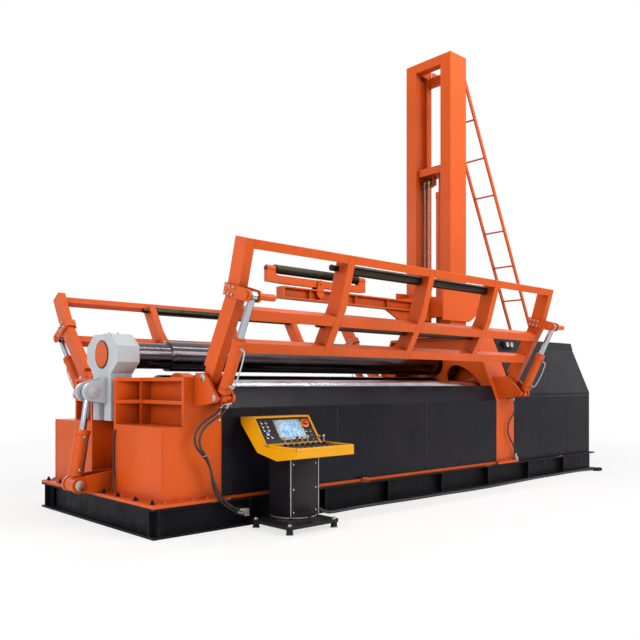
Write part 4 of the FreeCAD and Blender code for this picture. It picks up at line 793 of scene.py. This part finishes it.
def console_display():
    plate = Surfaces()
    plate.grid(rounded_block(on_display(-0.005, 0.186, 0.001), (0.362, 0.158, 0.004), 0.003, DISPLAY_BASIS),
               wrap=True)
    plate.piece("display_plate", MATS["console_dark"], "machine")
    rim = Surfaces()
    framed(rim, on_display, (-0.005, 0.372), (0.186, 0.168), 0.009, 0.008, DISPLAY_BASIS, 0.003)
    rim.piece("display_rim", MATS["console_yellow"], "machine")
    bezel = Surfaces()
    framed(bezel, on_display, (0.030, 0.170), (0.190, 0.108), 0.018, 0.008, DISPLAY_BASIS, 0.006)
    bezel.piece("screen_bezel", BEZEL, "machine")
    glass = Surfaces()
    glass.grid(rounded_block(on_display(0.030, 0.190, 0.004), (0.156, 0.094, 0.004), 0.002, DISPLAY_BASIS),
               wrap=True)
    glass.piece("screen_glass", SCREEN, "machine")


def console_buttons():
    dark, collars, blue, red, amber = (Surfaces() for _ in range(5))
    for v in (0.290, 0.245, 0.200, 0.110):
        for u in (-0.315, -0.255):
            place = on_display(u, v, 0.004)
            collars.grid(turned(place, DISPLAY_OUT, [(0.0, 0.017), (0.005, 0.017), (0.006, 0.014),
                                                     (0.006, 0.0)], 16), wrap=True)
            dark.grid(turned(place, DISPLAY_OUT, [(0.006, 0.012), (0.013, 0.012), (0.015, 0.009),
                                                  (0.015, 0.0)], 16), wrap=True)
    place = on_display(-0.290, 0.155, 0.004)
    collars.grid(turned(place, DISPLAY_OUT, [(0.0, 0.022), (0.006, 0.022), (0.008, 0.018), (0.008, 0.0)]),
                 wrap=True)
    blue.grid(turned(place, DISPLAY_OUT, [(0.008, 0.017), (0.014, 0.016), (0.018, 0.010), (0.019, 0.0)]),
              wrap=True)
    place = on_display(0.275, 0.262, 0.004)
    amber.grid(turned(place, DISPLAY_OUT, [(0.0, 0.052), (0.004, 0.052), (0.006, 0.048), (0.006, 0.0)], 32),
               wrap=True)
    red.grid(turned(place, DISPLAY_OUT, [(0.006, 0.018), (0.022, 0.018), (0.024, 0.033), (0.034, 0.036),
                                         (0.042, 0.030), (0.046, 0.016), (0.047, 0.0)], 32), wrap=True)
    for u, v in ((0.245, 0.165), (0.305, 0.165), (0.245, 0.105), (0.305, 0.105)):
        place = on_display(u, v, 0.004)
        button_collar(collars, place, DISPLAY_OUT)
        dark.grid(turned(place, DISPLAY_OUT, [(0.006, 0.012), (0.014, 0.011), (0.016, 0.0)], 16), wrap=True)
    dark.piece("button_caps", BLACK_PLASTIC, "machine")
    collars.piece("button_collars", MATS["fitting_steel"], "machine")
    blue.piece("ready_lamp", BLUE_LAMP, "machine")
    red.piece("stop_button", RED_PLASTIC, "machine")
    amber.piece("stop_plate", AMBER_PLASTIC, "machine")


def console_levers():
    """The lower tray: a dark mat in a yellow rim, with a row of levers in boots, and a row of small round
    buttons before them.
    """
    mat = Surfaces()
    mat.grid(rounded_block(on_tray(0.0, 0.245, 0.003), (0.372, 0.208, 0.004), 0.002, TRAY_BASIS), wrap=True)
    mat.piece("tray_mat", MATS["console_dark"], "machine")
    rim = Surfaces()
    framed(rim, on_tray, (0.0, 0.383), (0.262, 0.218), 0.009, 0.016, TRAY_BASIS, 0.010)
    rim.piece("tray_rim", MATS["console_yellow"], "machine")
    boots, stems, pale, yellow = (Surfaces() for _ in range(4))
    for k, u in enumerate(np.linspace(-0.235, 0.300, 8)):
        place = on_tray(u, 0.130, 0.006)
        way = np.array([0.04 * math.sin(2.1 * k), 0.10 * math.cos(1.7 * k), 1.0])
        boots.grid(turned(place, way, [(0.0, 0.027), (0.004, 0.027), (0.007, 0.022), (0.011, 0.024),
                                       (0.015, 0.017), (0.019, 0.019), (0.024, 0.012), (0.030, 0.008),
                                       (0.030, 0.0)], 20), wrap=True)
        stems.grid(turned(place, way, [(0.028, 0.0), (0.028, 0.005), (0.078, 0.005), (0.078, 0.0)], 10),
                   wrap=True)
        cap = yellow if k % 3 == 0 else (pale if k % 3 == 1 else boots)
        cap.grid(turned(place, way, [(0.074, 0.0), (0.075, 0.008), (0.080, 0.013), (0.088, 0.015),
                                     (0.096, 0.012), (0.100, 0.006), (0.101, 0.0)], 16), wrap=True)
    for u in np.linspace(-0.30, 0.30, 9):
        place = on_tray(u, 0.300, 0.006)
        stems.grid(turned(place, (0, 0, 1), [(0.0, 0.015), (0.004, 0.015), (0.005, 0.012),
                                             (0.005, 0.0)], 16), wrap=True)
        boots.grid(turned(place, (0, 0, 1), [(0.005, 0.011), (0.012, 0.010), (0.013, 0.0)], 16), wrap=True)
    boots.piece("lever_boots", BLACK_PLASTIC, "machine")
    stems.piece("lever_stems", MATS["fitting_steel"], "machine")
    pale.piece("lever_caps_pale", GAUGE_FACE, "machine")
    yellow.piece("lever_caps_yellow", MATS["console_yellow"], "machine")


def console_stand():
    """Folded corner strips on the post, screws, the foot ring and the washers of the levelling feet."""
    made = Surfaces()
    for x, y in ((-2.025, -1.785), (-1.635, -1.785)):
        made.grid(rod_along([(x, y, 0.110), (x, y, 0.300), (x, y, 0.724)], 0.006, 8), wrap=True)
    ring_t = np.linspace(0.0, 2.0 * np.pi, 65)
    ring = np.stack([-1.830 + 0.246 * np.cos(ring_t), np.minimum(-1.6075 + 0.246 * np.sin(ring_t), -1.436),
                     np.full_like(ring_t, 0.106)], -1)
    made.grid(rod_along(ring, 0.007, 6), wrap=True)
    made.piece("post_edges", BEZEL, "machine")
    screws = Surfaces()
    for z in (0.16, 0.40, 0.66):
        for x in (-1.985, -1.675):
            screws.grid(turned((x, -1.785, z), (0, -1, 0), [(0.0, 0.010), (0.003, 0.009), (0.005, 0.005),
                                                            (0.005, 0.0)], 12), wrap=True)
    for x in (-2.240, -1.630):
        for y in (-2.020, -1.480):
            screws.grid(turned((x, y, 0.090), (0, 0, 1), [(0.0, 0.026), (0.005, 0.026), (0.005, 0.017),
                                                          (0.016, 0.017), (0.018, 0.014), (0.018, 0.0)], 6),
                        wrap=True)
            screws.grid(turned((x, y, 0.0), (0, 0, 1), [(0.0, 0.0), (0.0, 0.038), (0.008, 0.040),
                                                        (0.014, 0.030), (0.020, 0.0)], 24), wrap=True)
    screws.piece("console_screws", MATS["fitting_steel"], "machine")
    seams = Surfaces()
    seams.grid(rounded_block((-1.830, -1.786, 0.425), (0.150, 0.003, 0.270), 0.002), wrap=True)
    seams.piece("post_door", MATS["console_dark"], "machine")


# Tables and their cylinders

def rod_line(side, x):
    """Foot and head pins of a table cylinder."""
    foot = np.array([x, SIDES[side] * CYLINDER_FOOT[0], CYLINDER_FOOT[1]])
    head = table_place(side, x, *CYLINDER_HEAD, True)
    return foot, head


def table_fittings():
    for side, out in SIDES.items():
        rings, fittings, lines = Surfaces(), Surfaces(), Surfaces()
        for x in (-2.740, 2.740):
            foot, head = rod_line(side, x)
            way = (head - foot) / np.linalg.norm(head - foot)
            rings.grid(turned(foot + way * 0.640, way, [(0.0, 0.038), (0.0, 0.052), (0.006, 0.054),
                                                        (0.014, 0.050), (0.018, 0.040), (0.018, 0.037)]),
                       wrap=True)
            for h in (0.112, 0.584):
                rings.grid(turned(foot + way * h, way, [(0.0, 0.060), (0.002, 0.0665), (0.010, 0.0665),
                                                        (0.012, 0.060)]), wrap=True)
            for h in (0.160, 0.560):
                port = np.array([0.0, out, -0.25])
                port = port - way * port.dot(way)
                port /= np.linalg.norm(port)
                base = foot + way * h + port * 0.058
                fittings.grid(turned(base, port, [(0.0, 0.0), (0.0, 0.019), (0.016, 0.019), (0.018, 0.015),
                                                  (0.034, 0.015), (0.034, 0.0)], 6), wrap=True)
            start = foot + way * 0.560 + port * 0.088
            line = arc_path([start, start + port * 0.045, start + port * 0.060 - way * 0.20,
                             foot + way * 0.160 + port * 0.125, foot + way * 0.160 + port * 0.088])
            lines.grid(rod_along(line, 0.0075, 8), wrap=True)
        rings.piece(side + "_gland_rings", MATS["cap_orange"], side + "_table_cylinders")
        fittings.piece(side + "_cylinder_ports", MATS["fitting_steel"], side + "_table_cylinders")
        lines.piece(side + "_cylinder_lines", MATS["yoke_grey"], side + "_table_cylinders")


def table_bolts():
    for side, out in SIDES.items():
        made, pins, plates = Surfaces(), Surfaces(), Surfaces()
        for x in (-2.740, 2.740):
            for s in (0.930, 1.000):
                for d in (-0.085, -0.030, 0.030):
                    for face in (-1.0, 1.0):
                        bolt(made, table_place(side, x + face * 0.088, d, s, True), (face, 0, 0), 0.010)
            hinge = np.array([x, out * HINGE[0], HINGE[1]])
            for face in (-1.0, 1.0):
                pin_cap(pins, hinge + np.array([face * 0.099, 0, 0]), (face, 0, 0), 0.040, 0.011, 0.006, 24)
                foot = np.array([x + face * 0.099, out * CYLINDER_FOOT[0], CYLINDER_FOOT[1]])
                pin_cap(pins, foot, (face, 0, 0), 0.036, 0.011, 0.006, 24)
        for x in POST_X:
            for s in (0.640, 1.315):
                if abs(x) < 2.0:
                    for face in (-1.0, 1.0):
                        place = table_place(side, x + face * 0.050, -0.070, s, s > 1.0)
                        plates.grid(turned(place, (face, 0, 0), [(0.0, 0.048), (0.009, 0.048),
                                                                 (0.011, 0.044), (0.011, 0.026)], 24),
                                    wrap=True)
        made.piece(side + "_clamp_bolts", MATS["fitting_steel"], side + "_table")
        plates.piece(side + "_roller_flanges", MATS["orange_paint"], side + "_table")
        pins.piece(side + "_hinge_caps", MATS["fitting_steel"], "machine")


RAIL_ENDS = ((0.335, 0.435, False), (0.695, 0.795, False), (1.392, 1.478, True))


def table_welds():
    """Beads where the rails meet the posts."""
    for side in SIDES:
        made = Surfaces()
        for x in POST_X:
            for face in (-1.0, 1.0):
                at = x + face * 0.050
                if abs(at) > 2.75:
                    continue
                for d in (-0.025, 0.074):
                    for s0, s1, upper in RAIL_ENDS:
                        made.grid(weld(table_place(side, at, d, s0, upper),
                                       table_place(side, at, d, s1, upper), 0.005), wrap=True)
        made.piece(side + "_rail_welds", MATS["orange_paint"], side + "_table")


# Yoke, its cylinder and the drop end

def yoke_dressing():
    """Cap groove, plugs and grease points on the head, and washers on the lug's and the foot's pins."""
    cap_x, cap_z = -3.235, 1.825
    groove = Surfaces()
    groove.grid(turned((cap_x, 0.0, cap_z), (-1, 0, 0), [(0.0, 0.157), (0.006, 0.155), (0.007, 0.147),
                                                         (0.001, 0.145)], 64), wrap=True)
    groove.piece("cap_groove", BLACK_PLASTIC, "drop_yoke")
    fittings, pins = Surfaces(), Surfaces()
    for x, y in ((-3.185, -0.075), (-3.045, 0.085)):
        fittings.grid(turned((x, y, 2.047), (0, 0, 1), [(0.0, 0.030), (0.008, 0.030), (0.012, 0.020),
                                                        (0.020, 0.012), (0.020, 0.0)], 16), wrap=True)
    for x, y in ((-3.120, -0.150), (-3.120, 0.150)):
        fittings.grid(turned((x, y, 2.047), (0, 0, 1), [(0.0, 0.012), (0.012, 0.012), (0.013, 0.007),
                                                        (0.022, 0.008), (0.026, 0.004), (0.026, 0.0)], 6),
                      wrap=True)
    lug_x, lug_z = LUG_EYE
    for side in (-1.0, 1.0):
        pins.grid(turned((lug_x, side * 0.120, lug_z), (0, side, 0),
                         [(0.0, 0.066), (0.010, 0.066), (0.014, 0.060), (0.014, 0.044), (0.020, 0.042),
                          (0.022, 0.036), (0.022, 0.0)], 32), wrap=True)
        bolt(fittings, (lug_x, side * 0.142, lug_z), (0, side, 0), 0.010)
    fittings.piece("yoke_fittings", MATS["fitting_steel"], "drop_yoke")
    pins.piece("lug_pin_caps", MATS["yoke_grey"], "drop_yoke")
    foot = Surfaces()
    for side in (-1.0, 1.0):
        foot.grid(turned((DROP_FOOT[0], side * 0.147, DROP_FOOT[1]), (0, side, 0),
                         [(0.0, 0.058), (0.010, 0.058), (0.014, 0.050), (0.014, 0.0)], 32), wrap=True)
    foot.piece("foot_pin_caps", MATS["fitting_steel"], "machine")


def drop_cylinder_dressing():
    foot = np.array([DROP_FOOT[0], 0.0, DROP_FOOT[1]])
    head = np.array([LUG_EYE[0], 0.0, LUG_EYE[1]])
    way = (head - foot) / np.linalg.norm(head - foot)
    port = np.cross(way, (0.0, 1.0, 0.0))
    port = port if port[0] < 0 else -port
    rings, fittings = Surfaces(), Surfaces()
    rings.grid(turned(foot + way * 0.536, way, [(0.0, 0.085), (0.001, 0.0875), (0.006, 0.0875),
                                                (0.007, 0.085)], 48), wrap=True)
    for h in (0.160, 0.510):
        base = foot + way * h + np.array([0.0, -0.078, 0.0])
        fittings.grid(turned(base, (0, -1, 0), [(0.0, 0.0), (0.0, 0.022), (0.014, 0.022), (0.016, 0.016),
                                                (0.030, 0.016), (0.030, 0.0)], 6), wrap=True)
    a, b = foot + way * 0.510, foot + way * 0.160
    out = np.array([0.0, -0.108, 0.0])
    line = arc_path([a + out, a + out * 1.32, b + out * 1.32, b + out])
    rings.piece("yoke_gland_rings", MATS["cap_orange"], "drop_cylinder")
    fittings.piece("yoke_cylinder_ports", MATS["fitting_steel"], "drop_cylinder")
    lines = Surfaces()
    lines.grid(rod_along(line, 0.0085, 10), wrap=True)
    lines.piece("yoke_cylinder_line", BLACK_PLASTIC, "drop_cylinder")


def drop_end_marks():
    """The worn steel strip at the head's front corner, with its bolts, and the grease line in the slot."""
    strip, dark, line = Surfaces(), Surfaces(), Surfaces()
    strip.grid(rounded_block((-2.950, -1.2135, 1.410), (0.024, 0.0035, 0.120), 0.003), wrap=True)
    for z in (1.325, 1.380, 1.440, 1.495):
        bolt(dark, (-2.950, -1.217, z), (0, -1, 0), 0.009)
    path = arc_path([(-3.215, -0.300, 1.020), (-3.245, -0.300, 0.980), (-3.245, -0.300, 0.560),
                     (-3.260, -0.320, 0.420), (-3.290, -0.340, 0.348)])
    line.grid(rod_along(path, 0.011, 10), wrap=True)
    strip.piece("head_wear_strip", MATS["fitting_steel"], "machine")
    dark.piece("wear_strip_bolts", BLACK_PLASTIC, "machine")
    line.piece("slot_grease_line", BLACK_PLASTIC, "machine")


# Panels and cover

def panel_trim():
    """Seams, folded edges and screws on the front and back panels and on the cover."""
    dark, screws, edge = Surfaces(), Surfaces(), Surfaces()
    for side in (-1.0, 1.0):
        y = side * 1.261
        for x in (-0.840, 0.840):
            dark.grid(rounded_block((x, y, 0.790), (0.0035, 0.002, 0.455), 0.0015), wrap=True)
        edge.grid(rod_along([(-2.510, side * 1.165, 1.468), (0.0, side * 1.165, 1.468),
                             (2.510, side * 1.165, 1.468)], 0.006, 8), wrap=True)
        for x in np.linspace(-2.42, 2.42, 13):
            for z in (0.375, 1.215):
                pan_screw(screws, (x, y, z), (0, side, 0))
        dark.grid(rounded_block((4.222, side * 1.2515, 1.300), (1.214, 0.003, 0.005), 0.002), wrap=True)
        dark.grid(rounded_block((4.222, side * 0.941, 2.080), (1.214, 0.004, 0.005), 0.002), wrap=True)
        for x in np.linspace(3.08, 5.36, 8):
            for z in (0.350, 1.260):
                pan_screw(screws, (x, side * 1.250, z), (0, side, 0))
        for x in (3.820, 4.640):
            dark.grid(rounded_block((x, side * 1.2510, 0.800), (0.003, 0.002, 0.490), 0.0015), wrap=True)
    dark.grid(rounded_block((5.4405, 0.0, 1.300), (0.003, 1.240, 0.005), 0.002), wrap=True)
    for y in np.linspace(-1.10, 1.10, 7):
        pan_screw(screws, (5.440, y, 1.250), (1, 0, 0))
    dark.piece("panel_seams", BLACK_PLASTIC, "machine")
    edge.piece("panel_top_edges", MATS["anthracite_panel"], "machine")
    screws.piece("panel_screws", MATS["base_black"], "machine")


def louvres():
    """Rows of pressed slots on the cover's far end: a half tube with closed ends for each."""
    made = Surfaces()
    for y in (-0.62, 0.62):
        for z in np.linspace(0.62, 1.02, 9):
            made.grid(rounded_block((5.4405, y, z), (0.007, 0.200, 0.010), 0.006), wrap=True)
    made.piece("cover_louvres", MATS["anthracite_panel"], "machine")


def gauges():
    box, faces, rims, needles = (Surfaces() for _ in range(4))
    y0, z0 = -0.965, 2.135
    box.grid(rounded_block((3.300, y0 + 0.022, z0), (0.135, 0.040, 0.052), 0.008), wrap=True)
    for k, x in enumerate((3.240, 3.360)):
        place = (x, y0 - 0.018, z0)
        rims.grid(turned(place, (0, -1, 0), [(0.0, 0.041), (0.010, 0.041), (0.012, 0.037), (0.006, 0.034)],
                         32), wrap=True)
        faces.grid(turned(place, (0, -1, 0), [(0.0, 0.036), (0.005, 0.035), (0.005, 0.0)], 32), wrap=True)
        turn = 0.7 + 1.1 * k
        tip = np.array([x + 0.026 * math.cos(turn), y0 - 0.0245, z0 + 0.026 * math.sin(turn)])
        needles.grid(rod_along([(x, y0 - 0.0245, z0), (x * 0.5 + tip[0] * 0.5, tip[1], (z0 + tip[2]) / 2),
                                tip], 0.0016, 6), wrap=True)
    box.piece("gauge_box", MATS["console_dark"], "machine")
    faces.piece("gauge_faces", GAUGE_FACE, "machine")
    rims.piece("gauge_rims", BEZEL, "machine")
    needles.piece("gauge_needles", BLACK_PLASTIC, "machine")


# Column, lift and arm

def chain_links():
    """Leaf chain: link plates along each strand, every other pair further out."""
    plates = Surfaces()
    pitch = 0.038
    for y in (0.0745, 0.1815):
        for k, z in enumerate(np.arange(2.92, 4.80, pitch)):
            wide = 0.0115 if k % 2 else 0.0085
            plates.grid(rounded_block((2.5845, y, z), (wide, 0.0045, 0.0215), 0.004), wrap=True)
    plates.piece("chain_plates", MATS["chain_steel"], "arm_carriage")


def column_dressing():
    dark, bolts, tube = Surfaces(), Surfaces(), Surfaces()
    for x in (2.500, 2.800):
        for y in (-0.500, 0.500):
            bolt(bolts, (x, y, 2.284), (0, 0, 1), 0.018)
    tube.grid(rod_along(arc_path([(2.740, -0.100, 2.360), (2.790, -0.100, 2.360), (2.790, -0.100, 4.520),
                                  (2.736, -0.100, 4.560)]), 0.010, 10), wrap=True)
    for z in (2.80, 3.40, 4.00):
        dark.grid(rounded_block((2.768, -0.100, z), (0.034, 0.016, 0.012), 0.004), wrap=True)
    bolts.piece("column_bolts", MATS["fitting_steel"], "machine")
    tube.piece("lift_pipe", MATS["chain_steel"], "machine")
    dark.piece("lift_pipe_clips", BLACK_PLASTIC, "machine")


def base_dressing():
    """Anchor bolts with nuts on the base's outer edge and beads beside the stiffeners."""
    nuts, beads = Surfaces(), Surfaces()
    for y in (-1.235, -0.900, -0.530, -0.210, 0.530, 0.900, 1.235):
        nuts.grid(turned((-3.318, y, SOLE_TOP), (0, 0, 1),
                         [(0.0, 0.030), (0.005, 0.030), (0.005, 0.022), (0.024, 0.022), (0.026, 0.013),
                          (0.042, 0.012), (0.044, 0.0)], 6), wrap=True)
    for side in (-1.0, 1.0):
        for x in (-2.640, -0.422, 2.200, 4.300):
            beads.grid(weld((x - 0.060, side * 1.330, 0.298), (x + 0.060, side * 1.330, 0.298), 0.006),
                       wrap=True)
        beads.grid(rounded_block((-0.422, side * 1.318, 0.338), (0.055, 0.016, 0.009), 0.006), wrap=True)
    nuts.piece("anchor_nuts", MATS["base_black"], "machine")
    beads.piece("base_beads", MATS["orange_paint"], "machine")


camera()
studio()
floor()
dress_nodes()
hoses()
frame_bolts()
frame_welds()
console_display()
console_buttons()
console_levers()
console_stand()
table_fittings()
table_bolts()
table_welds()
yoke_dressing()
drop_cylinder_dressing()
drop_end_marks()
panel_trim()
louvres()
gauges()
chain_links()
column_dressing()
base_dressing()
